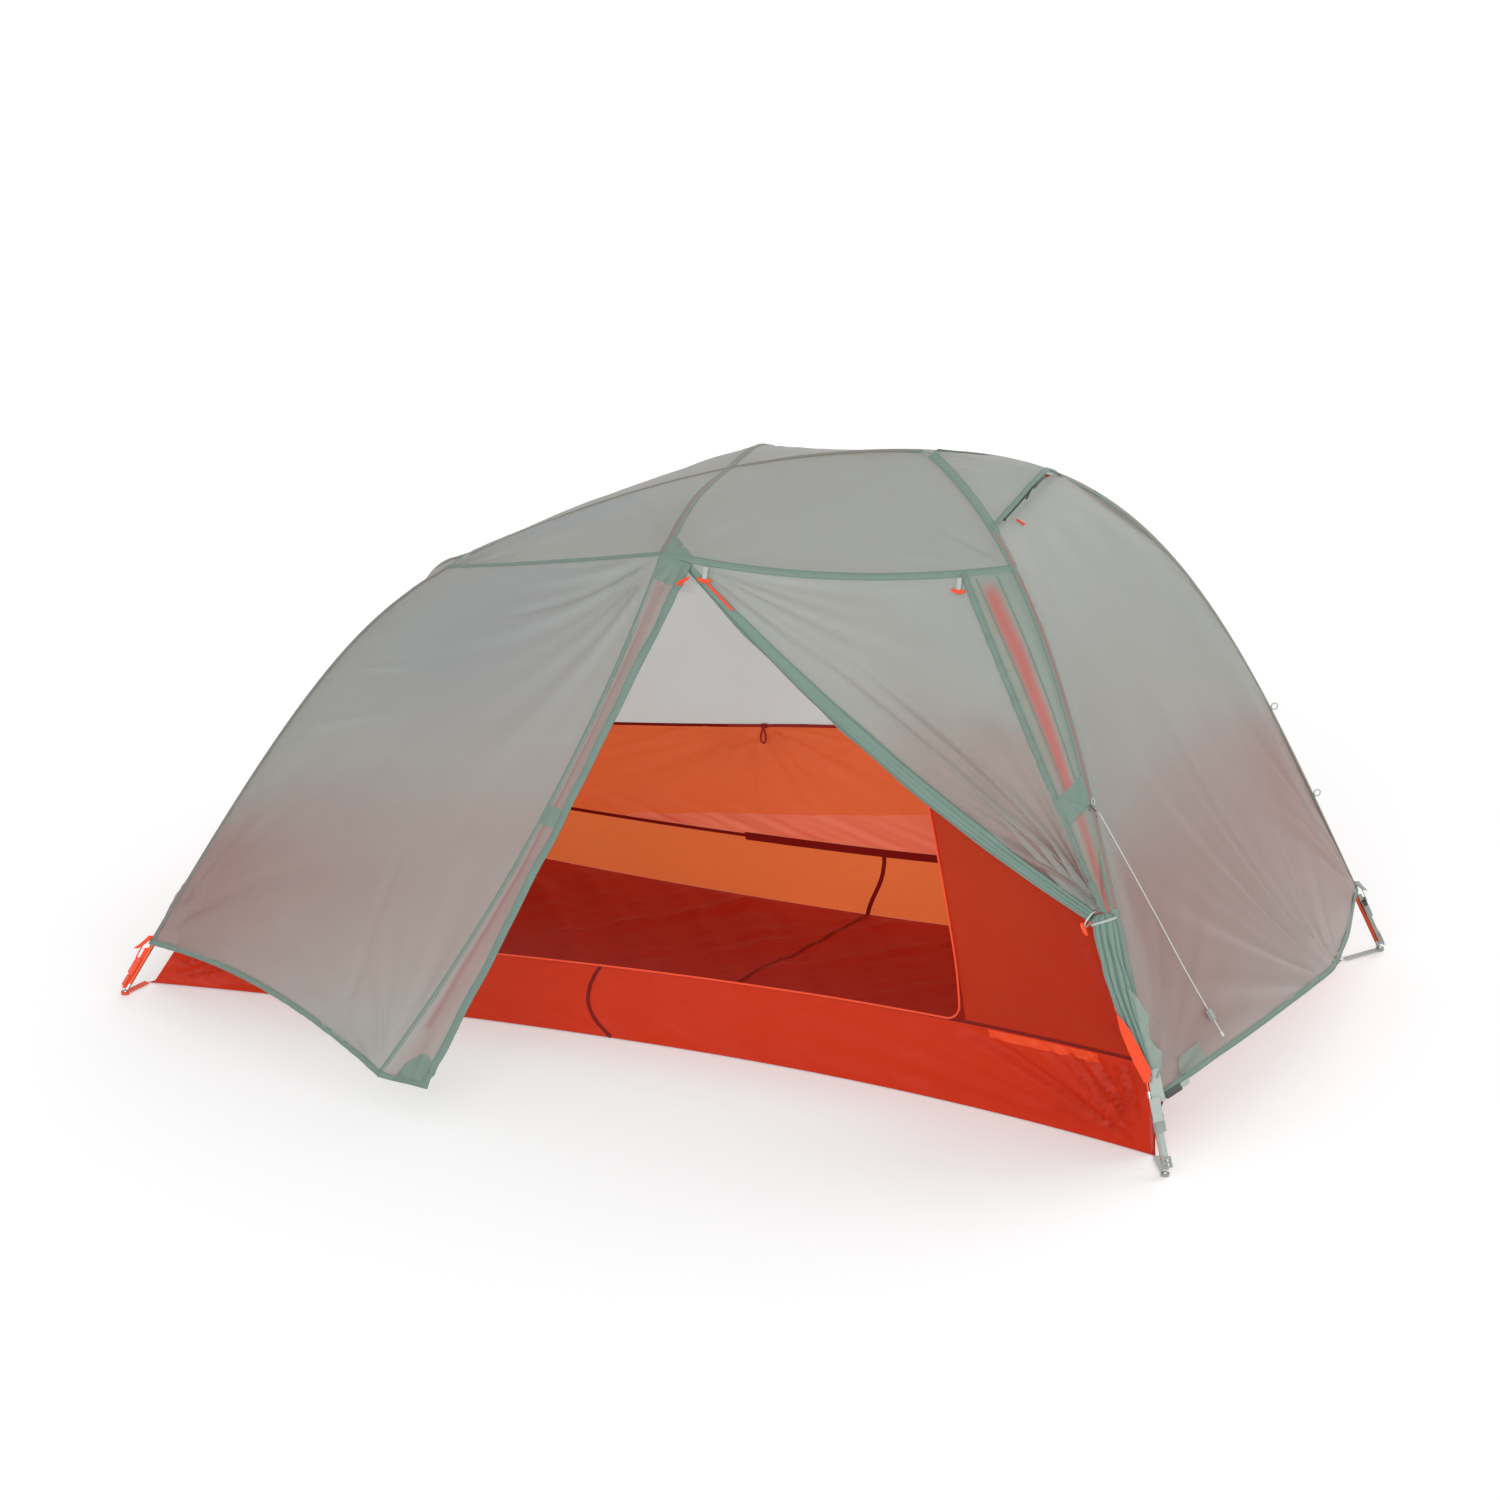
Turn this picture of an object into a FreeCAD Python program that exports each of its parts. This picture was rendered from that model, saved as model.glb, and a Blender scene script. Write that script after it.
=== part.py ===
import FreeCAD, Part
import math
import os

# Two-person dome tent pitched on poles: frame of elastic poles, hanging inner tent, rain fly,
# and the small hardware that joins them. Millimetres. +X is the head end, -Y the front door
# side, +Z up. The origin is on the ground under the middle of the floor.

Vector = FreeCAD.Vector
doc = FreeCAD.newDocument("tent")
sheet = doc.addObject("Spreadsheet::Sheet", "sizes")

DRIVING_SIZES = [
    # frame
    ("half_length", 1177), ("head_half_width", 649), ("foot_half_width", 584),
    ("head_hub_x", 393), ("head_hub_z", 1230), ("foot_hub_x", -645), ("foot_hub_z", 844),
    ("brow_tip_x", -63), ("brow_half_span", 318), ("brow_tip_z", 1054), ("brow_drop", 2.4),
    ("pole_radius", 4.4), ("pole_bore", 3.6), ("shock_cord_radius", 1.4),
    ("sleeve_radius", 6.8), ("sleeve_length", 46), ("sleeve_play", 0.05), ("hub_core_radius", 8.6),
    ("ferrule_radius", 5.2), ("ferrule_length", 14), ("tip_ball_radius", 5), ("tip_length", 14),
    # cloth
    ("cloth", 1.0), ("fly_gap", 10), ("inner_gap", 24), ("panel_gap", 2),
    ("fly_hem_foot", 0.95), ("fly_hem_head", 0.94), ("seam_foot", 0.06), ("seam_head", 0.29),
    ("inner_seam_foot", 0.24),
    # floor and inner tent
    ("floor_foot_reach", 1157), ("floor_head_reach", 1125), ("floor_half_waist", 415),
    ("floor_foot_flare", 96), ("floor_head_flare", 150), ("floor_waist_end", 1010),
    ("tub_foot_height", 125),
    ("tub_head_height", 190), ("door_foot_share", 0.22), ("door_head_share", 0.80),
    ("door_top_share", 0.93), ("rear_split_height", 405), ("rear_split_rise", 0.15),
    # vestibule corner
    ("stake_x", -455), ("stake_y", -915), ("stake_z", 60), ("flap_width", 118),
    # hardware
    ("webbing_width", 14), ("webbing_thick", 1.5), ("buckle_width", 24), ("buckle_length", 28),
    ("buckle_thick", 9), ("buckle_wall", 2), ("prong_play", 0.4), ("prong_length", 20),
    ("lock_width", 24), ("lock_length", 24), ("lock_thick", 4),
    ("toggle_length", 32), ("toggle_radius", 4.5), ("toggle_drop", 24),
    ("slider_width", 9), ("slider_length", 13), ("slider_thick", 6), ("zip_width", 5),
    ("zip_thick", 1.4), ("pull_length", 26), ("pull_width", 5), ("pull_thick", 1.2),
    ("strut_width", 10), ("strut_thick", 2.4),
    ("guyline_radius", 1.2), ("line_lok_length", 24), ("line_lok_width", 14), ("line_lok_thick", 7),
    ("grommet_radius", 8), ("grommet_bore", 4.5), ("grommet_thick", 3),
    ("saddle_side", 18), ("saddle_height", 21), ("cup_radius", 9), ("tie_radius", 19),
]
for row, (alias, value) in enumerate(DRIVING_SIZES, start=1):
    sheet.set("A%d" % row, alias)
    sheet.set("B%d" % row, str(value))
    sheet.setAlias("B%d" % row, alias)
doc.recompute()


def size(alias):
    return float(getattr(sheet, alias))


NODES = []


def keep(item, label):
    """Marks an object of the document as a sub-part with its own name."""
    item.Label = label
    NODES.append(item)
    return item


def feature(label, shape, placement=None):
    item = doc.addObject("Part::Feature", label)
    item.Shape = shape
    if placement is not None:
        item.Placement = placement
    return keep(item, label)


def primitive(kind, name, **sizes):
    """Adds a Part primitive whose sizes are bound to cells of the sheet."""
    item = doc.addObject(kind, name)
    for name_of_size, expression in sizes.items():
        item.setExpression(name_of_size, expression)
    return item


def boolean(kind, name, base, tool):
    item = doc.addObject(kind, name)
    item.Base = base
    item.Tool = tool
    return item


def joined(kind, name, items):
    item = doc.addObject(kind, name)
    if kind == "Part::Compound":
        item.Links = items
    else:
        item.Shapes = items
    return item


def frame_at(origin, z_axis, x_hint):
    """A placement at origin whose Z runs along z_axis and whose X is nearest to x_hint."""
    z = Vector(z_axis).normalize()
    x = Vector(x_hint) - z * z.dot(Vector(x_hint))
    x.normalize()
    y = z.cross(x)
    matrix = FreeCAD.Matrix(x.x, y.x, z.x, origin.x,
                            x.y, y.y, z.y, origin.y,
                            x.z, y.z, z.z, origin.z,
                            0, 0, 0, 1)
    return FreeCAD.Placement(matrix)


def shifted(placement, x=0.0, y=0.0, z=0.0):
    return placement.multiply(FreeCAD.Placement(Vector(x, y, z), FreeCAD.Rotation()))


def mirrored(point):
    return Vector(point.x, -point.y, point.z)


def mix(a, b, share):
    return a * (1 - share) + b * share


def bezier(control, share):
    points = [Vector(p) for p in control]
    while len(points) > 1:
        points = [mix(a, b, share) for a, b in zip(points, points[1:])]
    return points[0]


def direction(control, share):
    step = 0.001
    low = max(share - step, 0)
    high = min(share + step, 1)
    return (bezier(control, high) - bezier(control, low)).normalize()


# ---------------------------------------------------------------- the lines of the frame

UP = Vector(0, 0, 1)
head_hub = Vector(size("head_hub_x"), 0, size("head_hub_z"))
foot_hub = Vector(size("foot_hub_x"), 0, size("foot_hub_z"))
head_tip = Vector(size("half_length"), -size("head_half_width"), 0)
foot_tip = Vector(-size("half_length"), -size("foot_half_width"), 0)
brow_tip = Vector(size("brow_tip_x"), -size("brow_half_span"), size("brow_tip_z"))


def leg_line(hub, tip, top_reach, top_drop, tip_reach, tip_rise):
    """Control points of a leg: it leaves the hub nearly level and meets the ground steeply."""
    out = Vector(tip.x - hub.x, tip.y - hub.y, 0)
    knee = tip - out * tip_reach + UP * tip_rise
    return [hub, hub + out * top_reach - UP * top_drop, knee, tip]


head_leg = leg_line(head_hub, head_tip, 0.50, 58, 0.351, 802)
foot_leg = leg_line(foot_hub, foot_tip, 0.286, 86, 0.568, 680)
ridge_span = head_hub.x - foot_hub.x
ridge = [foot_hub, foot_hub + Vector(0.333 * ridge_span, 0, 214),
         head_hub + Vector(-0.30 * ridge_span, 0, -31), head_hub]
RIDGE_RUNS = 8
CROSSED_RUN = 4
crossed_start = bezier(ridge, CROSSED_RUN / RIDGE_RUNS)
crossed_end = bezier(ridge, (CROSSED_RUN + 1) / RIDGE_RUNS)
crossing = (crossed_start + crossed_end) * 0.5
brow_top = crossing - UP * (2 * size("pole_radius") + size("brow_drop"))
brow_shoulder = Vector(brow_tip.x + 6, -0.62 * size("brow_half_span"), brow_top.z - 4)
brow_neck = Vector(brow_top.x, -0.14 * size("brow_half_span"), brow_top.z)
brow = [brow_tip, brow_shoulder, Vector(brow_top.x, -0.30 * size("brow_half_span"), brow_top.z),
        brow_neck]


def outside(control, share, gap):
    """A point beside a pole line, moved away from the tent in the line's own upright plane."""
    along = direction(control, share)
    normal = UP - along * UP.dot(along)
    normal.normalize()
    return bezier(control, share) + normal * gap


def rounded_wire(points):
    """Straight runs joined by tangent arcs, each as large as its two runs allow."""
    edges = []
    start = points[0]
    for before, corner, after in zip(points, points[1:], points[2:]):
        run_in = (corner - before).Length
        run_out = (after - corner).Length
        into = (corner - before).normalize()
        out = (after - corner).normalize()
        reach = 0.45 * min(run_in, run_out)
        arc_start = corner - into * reach
        arc_end = corner + out * reach
        toward = (arc_start + arc_end) * 0.5 - corner
        half_turn = math.acos(max(-1, min(1, into.dot(out)))) / 2
        radius = reach / math.tan(half_turn)
        to_centre = radius / math.cos(half_turn)
        middle = corner + toward.normalize() * (to_centre - radius)
        edges.append(Part.LineSegment(start, arc_start).toShape())
        edges.append(Part.Arc(arc_start, middle, arc_end).toShape())
        start = arc_end
    edges.append(Part.LineSegment(start, points[-1]).toShape())
    return Part.Wire(edges)


def tube_along(wire, points, radius):
    along = points[1] - points[0]
    ring = Part.Wire(Part.makeCircle(radius, points[0], along))
    return wire.makePipeShell([ring], True, False)


# ---------------------------------------------------------------- poles

SLEEVE_START = 14.0


def pole_points(control, count, start_gap, end_gap):
    """Points along a pole line; its ends stop short inside a socket or at a tip."""
    points = [bezier(control, k / count) for k in range(count + 1)]
    first = (points[1] - points[0]).normalize()
    last = (points[-2] - points[-1]).normalize()
    points[0] = points[0] + first * start_gap
    points[-1] = points[-1] + last * end_gap
    return points


def pole(label, points):
    wire = rounded_wire(points)
    outer = tube_along(wire, points, size("pole_radius"))
    bore = tube_along(wire, points, size("pole_bore"))
    return feature(label, outer.cut(bore))


def mirrored_line(control):
    return [mirrored(p) for p in control]


TIP_GAP = size("tip_ball_radius") + size("tip_length")
leg_tip_rise = UP * size("tip_ball_radius")


def raised_end(control):
    return control[:-1] + [control[-1] + leg_tip_rise]


lines = {
    "head_leg_pole_front": raised_end(head_leg),
    "head_leg_pole_rear": raised_end(mirrored_line(head_leg)),
    "foot_leg_pole_front": raised_end(foot_leg),
    "foot_leg_pole_rear": raised_end(mirrored_line(foot_leg)),
}
LEG_RUNS = 8
cord_shapes = []
ferrule_shapes = []
tip_shapes = []


LEG_FERRULES = (1, 3, 5, 7)
RIDGE_FERRULES = (2, 6)
FERRULE_PLAY = 0.02


def add_ferrules(points, runs):
    """Short collars where two sections of a pole meet, on the straight middle of a run."""
    for k in runs:
        middle = (points[k] + points[k + 1]) * 0.5
        along = (points[k + 1] - points[k]).normalize()
        base = middle - along * (size("ferrule_length") / 2)
        collar = Part.makeCylinder(size("ferrule_radius"), size("ferrule_length"), base, along)
        hole_radius = size("pole_radius") + FERRULE_PLAY
        hole = Part.makeCylinder(hole_radius, size("ferrule_length"), base, along)
        ferrule_shapes.append(collar.cut(hole))


def add_shock_cord(points):
    wire = rounded_wire(points)
    cord_shapes.append(tube_along(wire, points, size("shock_cord_radius")))


def add_tip(points):
    along = (points[-1] - points[-2]).normalize()
    plug = Part.makeCylinder(size("pole_radius"), size("tip_length"), points[-1], along)
    ball = Part.makeSphere(size("tip_ball_radius"), points[-1] + along * TIP_GAP)
    tip_shapes.append(plug.fuse(ball))


leg_points = {}
for label, control in lines.items():
    points = pole_points(control, LEG_RUNS, SLEEVE_START, TIP_GAP)
    leg_points[label] = points
    pole(label, points)
    add_ferrules(points, LEG_FERRULES)
    add_shock_cord(points)
    add_tip(points)
ridge_points = pole_points(ridge, RIDGE_RUNS, SLEEVE_START, SLEEVE_START)
pole("ridge_pole", ridge_points)
add_ferrules(ridge_points, RIDGE_FERRULES)
add_shock_cord(ridge_points)

# The brow pole crosses under the ridge and spreads the roof over the two doors.
half_brow = [bezier(brow, k / 3) for k in range(4)]
brow_points = half_brow + [mirrored(p) for p in reversed(half_brow)]
pole("brow_pole", brow_points)
add_shock_cord(brow_points)
feature("pole_ferrules", Part.makeCompound(ferrule_shapes + tip_shapes))
feature("pole_shock_cords", Part.makeCompound(cord_shapes))

# ---------------------------------------------------------------- hubs


def hub(label, centre, directions):
    """A moulded core with one sleeve for each pole that plugs into it."""
    core = primitive("Part::Sphere", label + "_core", Radius="sizes.hub_core_radius")
    core.Placement = FreeCAD.Placement(centre, FreeCAD.Rotation())
    sleeves = [core]
    bores = []
    for number, along in enumerate(directions, start=1):
        sleeve = primitive("Part::Cylinder", "%s_sleeve_%d" % (label, number),
                           Radius="sizes.sleeve_radius", Height="sizes.sleeve_length")
        sleeve.Placement = frame_at(centre, along, UP)
        sleeves.append(sleeve)
        bore = primitive("Part::Cylinder", "%s_bore_%d" % (label, number),
                         Radius="sizes.pole_radius + sizes.sleeve_play",
                         Height="sizes.sleeve_length")
        bore.Placement = shifted(frame_at(centre, along, UP), z=SLEEVE_START)
        bores.append(bore)
    solid = joined("Part::MultiFuse", label + "_solid", sleeves)
    hollow = joined("Part::MultiFuse", label + "_bores", bores)
    return keep(boolean("Part::Cut", label, solid, hollow), label)


def first_run(points):
    return (points[1] - points[0]).normalize()


hub("head_hub", head_hub, [
    first_run(leg_points["head_leg_pole_front"]),
    first_run(leg_points["head_leg_pole_rear"]),
    (ridge_points[-2] - ridge_points[-1]).normalize()])
hub("foot_hub", foot_hub, [
    first_run(leg_points["foot_leg_pole_front"]),
    first_run(leg_points["foot_leg_pole_rear"]),
    first_run(ridge_points)])

# ---------------------------------------------------------------- cloth


def line_between(a, b, bow=Vector(0, 0, 0)):
    """An edge of cloth from a to b, moved by bow at its middle."""
    return lambda s: mix(a, b, s) + bow * (4 * s * (1 - s))


def stretch(curve, low, high):
    return lambda s: curve(low + (high - low) * s)


def reflected(curve):
    return lambda s: mirrored(curve(s))


def patch(top, bottom, left, right):
    """A cloth surface through its four edges: u runs along top and bottom, v down the sides."""
    def surface(u, v):
        across = mix(top(u), bottom(u), v)
        down = mix(left(v), right(v), u)
        corners = mix(mix(top(0), top(1), u), mix(bottom(0), bottom(1), u), v)
        return across + down - corners
    return surface


def bulged(surface, push):
    """The surface moved by push at its middle, with its edges left where they are."""
    return lambda u, v: surface(u, v) + push * (16 * u * (1 - u) * v * (1 - v))


def mirror_surface(surface):
    return lambda u, v: mirrored(surface(u, v))


INSIDE = Vector(0, 0, 350)


def cloth_solid(surface, rows=9, columns=9, gap=None):
    """A closed sheet of the cloth's thickness under a surface, short of its edges by a gap."""
    gap = size("panel_gap") if gap is None else gap
    width = (surface(1, 0.5) - surface(0, 0.5)).Length
    height = (surface(0.5, 1) - surface(0.5, 0)).Length
    inset_u = gap / width
    inset_v = gap / height
    step = 0.002
    outer = []
    inner = []
    for i in range(columns):
        u = inset_u + (1 - 2 * inset_u) * i / (columns - 1)
        outer_row = []
        inner_row = []
        for j in range(rows):
            v = inset_v + (1 - 2 * inset_v) * j / (rows - 1)
            point = surface(u, v)
            along_u = surface(min(u + step, 1), v) - surface(max(u - step, 0), v)
            along_v = surface(u, min(v + step, 1)) - surface(u, max(v - step, 0))
            normal = along_u.cross(along_v).normalize()
            if normal.dot(INSIDE - surface(0.5, 0.5)) < 0:
                normal = -normal
            outer_row.append(point)
            inner_row.append(point + normal * size("cloth"))
        outer.append(outer_row)
        inner.append(inner_row)
    outer_face = Part.BSplineSurface()
    outer_face.interpolate(outer)
    inner_face = Part.BSplineSurface()
    inner_face.interpolate(inner)
    faces = [outer_face.toShape(), inner_face.toShape()]
    outer_ends = outer_face.bounds()
    inner_ends = inner_face.bounds()
    for k in (0, 1):
        faces.append(Part.makeRuledSurface(outer_face.uIso(outer_ends[k]).toShape(),
                                           inner_face.uIso(inner_ends[k]).toShape()))
        faces.append(Part.makeRuledSurface(outer_face.vIso(outer_ends[2 + k]).toShape(),
                                           inner_face.vIso(inner_ends[2 + k]).toShape()))
    shell = Part.Shell(faces)
    shell.sewShape()
    solid = Part.Solid(shell)
    if solid.Volume < 0:
        solid.reverse()
    return solid


def panel(label, surface, **options):
    return feature(label, cloth_solid(surface, **options))


# Edges of the fly. Each lies a small gap outside the pole that carries it.
fly_gap = size("fly_gap")
seam_foot = size("seam_foot")
seam_head = size("seam_head")
NEAR_HUB = 0.007


def fly_leg(control, low, high):
    return lambda s: outside(control, low + (high - low) * s, fly_gap)


fly_brow_tip = brow_tip + Vector(0, -fly_gap, fly_gap * 0.8)
ridge_cross = (CROSSED_RUN + 0.5) / RIDGE_RUNS


def fly_ridge(low, high):
    return lambda s: bezier(ridge, low + (high - low) * s) + UP * fly_gap


fly_cross = fly_ridge(ridge_cross, ridge_cross)(0)


def fly_brow(s):
    """Over the brow pole, from the ridge down to its front tip."""
    shoulder = mix(fly_cross, fly_brow_tip, 0.55) + UP * 42
    return bezier([fly_cross, mix(fly_cross, shoulder, 0.9), shoulder, fly_brow_tip], s)


seam_head_end = fly_leg(head_leg, seam_head, 1)(0)
seam_foot_end = fly_leg(foot_leg, seam_foot, 1)(0)
door_seam = line_between(fly_brow_tip, seam_head_end, Vector(0, -30, -22))
foot_seam = line_between(seam_foot_end, fly_brow_tip, Vector(0, -22, 4))

roof_front = patch(fly_ridge(ridge_cross, 1), door_seam, fly_brow, fly_leg(head_leg, 0, seam_head))
foot_roof_front = patch(fly_ridge(0, ridge_cross), foot_seam, fly_leg(foot_leg, 0, seam_foot),
                        fly_brow)
panel("fly_roof_front", roof_front)
panel("fly_roof_rear", mirror_surface(roof_front))
panel("fly_foot_roof_front", foot_roof_front)
panel("fly_foot_roof_rear", mirror_surface(foot_roof_front))

# Ends of the fly: each spans two legs, sags a little between them and is drawn out at its hem.


def end_panel(leg, low, hem, pull, sag):
    def surface(u, v):
        edge = outside(leg, low + (hem - low) * v, fly_gap)
        point = mix(edge, mirrored(edge), u)
        middle = 4 * u * (1 - u)
        peak = 1 - abs(2 * u - 1) ** 1.25
        return point + sag * (middle * math.sin(math.pi * v)) + pull * (peak * v ** 3.5)
    return surface


VENT_SHARE = 0.215
head_end = end_panel(head_leg, VENT_SHARE, size("fly_hem_head"), Vector(165, 0, 78), Vector(-22, 0, 0))
foot_end = end_panel(foot_leg, NEAR_HUB, size("fly_hem_foot"), Vector(-45, 0, 40), Vector(14, 0, 0))
panel("fly_head_end", head_end, columns=13)
panel("fly_foot_end", foot_end, columns=13)

# Hood over the head-end vent: a brim held out at its middle by a short stay.
vent_tip = Vector(655, 0, 1229)
hood_near = outside(head_leg, VENT_SHARE - 0.004, fly_gap + 1)


def vent_hood(u, v):
    edge = outside(head_leg, NEAR_HUB + (VENT_SHARE - 0.006 - NEAR_HUB) * v, fly_gap + 1)
    point = mix(edge, mirrored(edge), u)
    ridge_share = 1 - abs(2 * u - 1)
    lift = vent_tip - mix(hood_near, mirrored(hood_near), 0.5)
    return point + lift * (v ** 1.3 * (1 - (1 - ridge_share) ** 2) * ridge_share ** 0.35)


panel("fly_vent_hood", vent_hood, columns=17)

# Front vestibule. Its zip line runs from the brow pole's tip down to the staked corner.
stake_corner = Vector(size("stake_x"), size("stake_y"), size("stake_z"))
flap_corner = stake_corner + Vector(size("flap_width"), -20, 0)
hem_foot = fly_leg(foot_leg, size("fly_hem_foot"), 1)(0)
hem_head = fly_leg(head_leg, size("fly_hem_head"), 1)(0)
zip_line = line_between(fly_brow_tip, stake_corner, Vector(52, -10, 0))
flap_edge = line_between(mix(fly_brow_tip, seam_head_end, 0.09) + Vector(0, -16, -16), flap_corner,
                         Vector(8, -14, 0))
foot_leg_side = fly_leg(foot_leg, seam_foot, size("fly_hem_foot"))
head_leg_side = fly_leg(head_leg, seam_head, size("fly_hem_head"))
front_hem = line_between(hem_foot, stake_corner, Vector(0, 0, 45))
vestibule_foot = bulged(patch(foot_seam, front_hem, foot_leg_side, zip_line), Vector(-10, -30, 12))
flap_top = line_between(fly_brow_tip, flap_edge(0))
flap_hem = line_between(stake_corner, flap_corner)
storm_flap = patch(flap_top, flap_hem, zip_line, flap_edge)


def lifted(surface, away):
    return lambda u, v: surface(u, v) + away


panel("vestibule_front_panel", vestibule_foot)
panel("vestibule_rear_panel", mirror_surface(vestibule_foot))

# The front door is gathered to the head side and tied to the leg; the strip beside the leg
# stays in place.
TIE_SHARE = 0.765
tie_point = outside(head_leg, TIE_SHARE, fly_gap) + Vector(-26, -22, 0)
STRIP_SHARE = 0.86
strip_edge = line_between(door_seam(STRIP_SHARE), tie_point + Vector(6, 0, 6), Vector(6, -14, 0))
front_strip = patch(stretch(door_seam, STRIP_SHARE, 1),
                    line_between(tie_point + Vector(6, 0, 6), outside(head_leg, TIE_SHARE, fly_gap)),
                    strip_edge, fly_leg(head_leg, seam_head, TIE_SHARE))
DOOR_SHARE = 0.07
roll_line = line_between(door_seam(DOOR_SHARE) + Vector(0, 0, -8), tie_point + Vector(-14, -4, 8),
                         Vector(-16, -6, -22))
tied_door = patch(stretch(door_seam, DOOR_SHARE, STRIP_SHARE),
                  line_between(tie_point + Vector(-14, -4, 8), tie_point + Vector(6, 0, 6)),
                  roll_line, strip_edge)
panel("vestibule_front_strip", front_strip, columns=5)
panel("vestibule_front_door", tied_door)


def gathered(line, radii, breadth=1.0, across=Vector(1, 0, 0)):
    """Cloth rolled or bunched along a line, as thick as the given radii one after another."""
    count = len(radii) - 1
    rings = []
    for k, radius in enumerate(radii):
        share = k / count
        step = 0.01
        run = line(min(share + step, 1)) - line(max(share - step, 0))
        ring = Part.Wire(Part.Ellipse(Vector(0, 0, 0), radius * breadth, radius).toShape())
        ring.Placement = frame_at(line(share), run, across)
        rings.append(ring)
    return Part.makeLoft(rings, True)


def beside(line, away):
    return lambda s: line(s) + away


ROUND = 1.0001
door_roll = gathered(stretch(beside(roll_line, Vector(-12, 2, -17)), 0.03, 0.975),
                     [9, 13, 15, 15, 14, 12], ROUND)
bunch_top = tie_point + Vector(-10, -9, -24)
bunch_low = outside(head_leg, 0.925, fly_gap) + Vector(-12, -19, 0)
bunch_line = line_between(bunch_top, bunch_low, Vector(4, -6, 0))
door_bunch = gathered(bunch_line, [8, 13, 15, 14, 9], 2.1)
feature("vestibule_front_door_gathers", Part.makeCompound([door_roll, door_bunch]))

# The rear vestibule is closed.
rear_door = bulged(patch(door_seam, line_between(stake_corner, hem_head, Vector(0, 0, 30)),
                         zip_line, head_leg_side), Vector(10, -30, 12))
panel("vestibule_rear_door", mirror_surface(rear_door))

# ---------------------------------------------------------------- inner tent

inner_gap = size("inner_gap")
FLOOR_ENDS = {-1: -size("floor_foot_reach"), 1: size("floor_head_reach")}


def floor_half_width(x):
    end, flare = (1, "floor_head_flare") if x > 0 else (-1, "floor_foot_flare")
    return size("floor_half_waist") + size(flare) * (x / FLOOR_ENDS[end]) ** 2


def floor_end_x(side, y):
    """The ends of the floor bow in from their corners to the same reach in the middle."""
    corner = floor_half_width(FLOOR_ENDS[side])
    middle = side * size("floor_waist_end")
    return middle + (FLOOR_ENDS[side] - middle) * (y / corner) ** 2


def floor_side(s):
    """The front edge of the floor from the foot corner to the head corner."""
    x = FLOOR_ENDS[-1] + (FLOOR_ENDS[1] - FLOOR_ENDS[-1]) * s
    return Vector(x, -floor_half_width(x), 0)


def floor_end(side):
    corner = floor_half_width(FLOOR_ENDS[side])
    return lambda s: Vector(floor_end_x(side, corner * (2 * s - 1)), corner * (2 * s - 1), 0)


def spline_edge(curve, count=9):
    line = Part.BSplineCurve()
    line.interpolate([curve(k / (count - 1)) for k in range(count)])
    return line.toShape()


floor_wire = Part.Wire([
    spline_edge(floor_side), spline_edge(floor_end(1)),
    spline_edge(reflected(floor_side)), spline_edge(floor_end(-1))])
floor_sheet = Part.Face(floor_wire).extrude(UP * size("cloth"))


def tub_height(x):
    share = (x - FLOOR_ENDS[-1]) / (FLOOR_ENDS[1] - FLOOR_ENDS[-1])
    return size("tub_foot_height") * (1 - share) + size("tub_head_height") * share


TUB_LEAN = 0.16


def tub_top(s):
    point = floor_side(0.036 + 0.949 * s)
    height = tub_height(point.x)
    return point + Vector(0, TUB_LEAN * height, height)


def tub_bottom(s):
    return floor_side(0.005 + 0.99 * s) + UP * (size("cloth") + 0.3)


tub_left = line_between(tub_top(0), tub_bottom(0))
tub_right = line_between(tub_top(1), tub_bottom(1))
tub_side = patch(tub_top, tub_bottom, tub_left, tub_right)
tub_front = cloth_solid(tub_side, gap=0.5)
tub_rear = cloth_solid(mirror_surface(tub_side), gap=0.5)
feature("bathtub_floor", Part.makeCompound([floor_sheet, tub_front, tub_rear]))


inner_seam_foot = size("inner_seam_foot")
eave_foot = outside(foot_leg, inner_seam_foot, -inner_gap)
eave_head = outside(head_leg, seam_head, -inner_gap)
eave_brow = brow_tip + Vector(0, 30, -26)
foot_eave = line_between(eave_foot, eave_brow, Vector(0, 6, 0))
head_eave = line_between(eave_brow, eave_head, Vector(0, 6, 0))
brow_share = (eave_brow.x - eave_foot.x) / (eave_head.x - eave_foot.x)


def eave(s):
    if s < brow_share:
        return foot_eave(s / brow_share)
    return head_eave((s - brow_share) / (1 - brow_share))


def corner_line(leg, seam, low_point):
    """From the eave down the leg to the top of the bathtub wall."""
    upper = outside(leg, seam, -inner_gap)
    middle = outside(leg, 0.62, -inner_gap)
    control = [upper, mix(upper, middle, 0.9) + UP * 20, mix(middle, low_point, 0.4) + UP * 40,
               low_point]
    return lambda s: bezier(control, s)


foot_corner_line = corner_line(foot_leg, inner_seam_foot, tub_top(0) + UP * 1.5)
head_corner_line = corner_line(head_leg, seam_head, tub_top(1) + UP * 1.5)
inner_side = patch(eave, beside(tub_top, UP * 1.5), foot_corner_line, head_corner_line)


def part_of(surface, u_low, u_high, v_low, v_high):
    return lambda u, v: surface(u_low + (u_high - u_low) * u, v_low + (v_high - v_low) * v)


door_foot = size("door_foot_share")
door_head = size("door_head_share")
door_top = 1 - size("door_top_share")
panel("inner_front_panel_foot", part_of(inner_side, 0, door_foot, 0, 1), columns=5)
panel("inner_front_panel_head", part_of(inner_side, door_head, 1, 0, 1), columns=5)
panel("inner_front_panel_top", part_of(inner_side, door_foot, door_head, 0, door_top), rows=4,
      columns=13)
rear_side = mirror_surface(inner_side)


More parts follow.
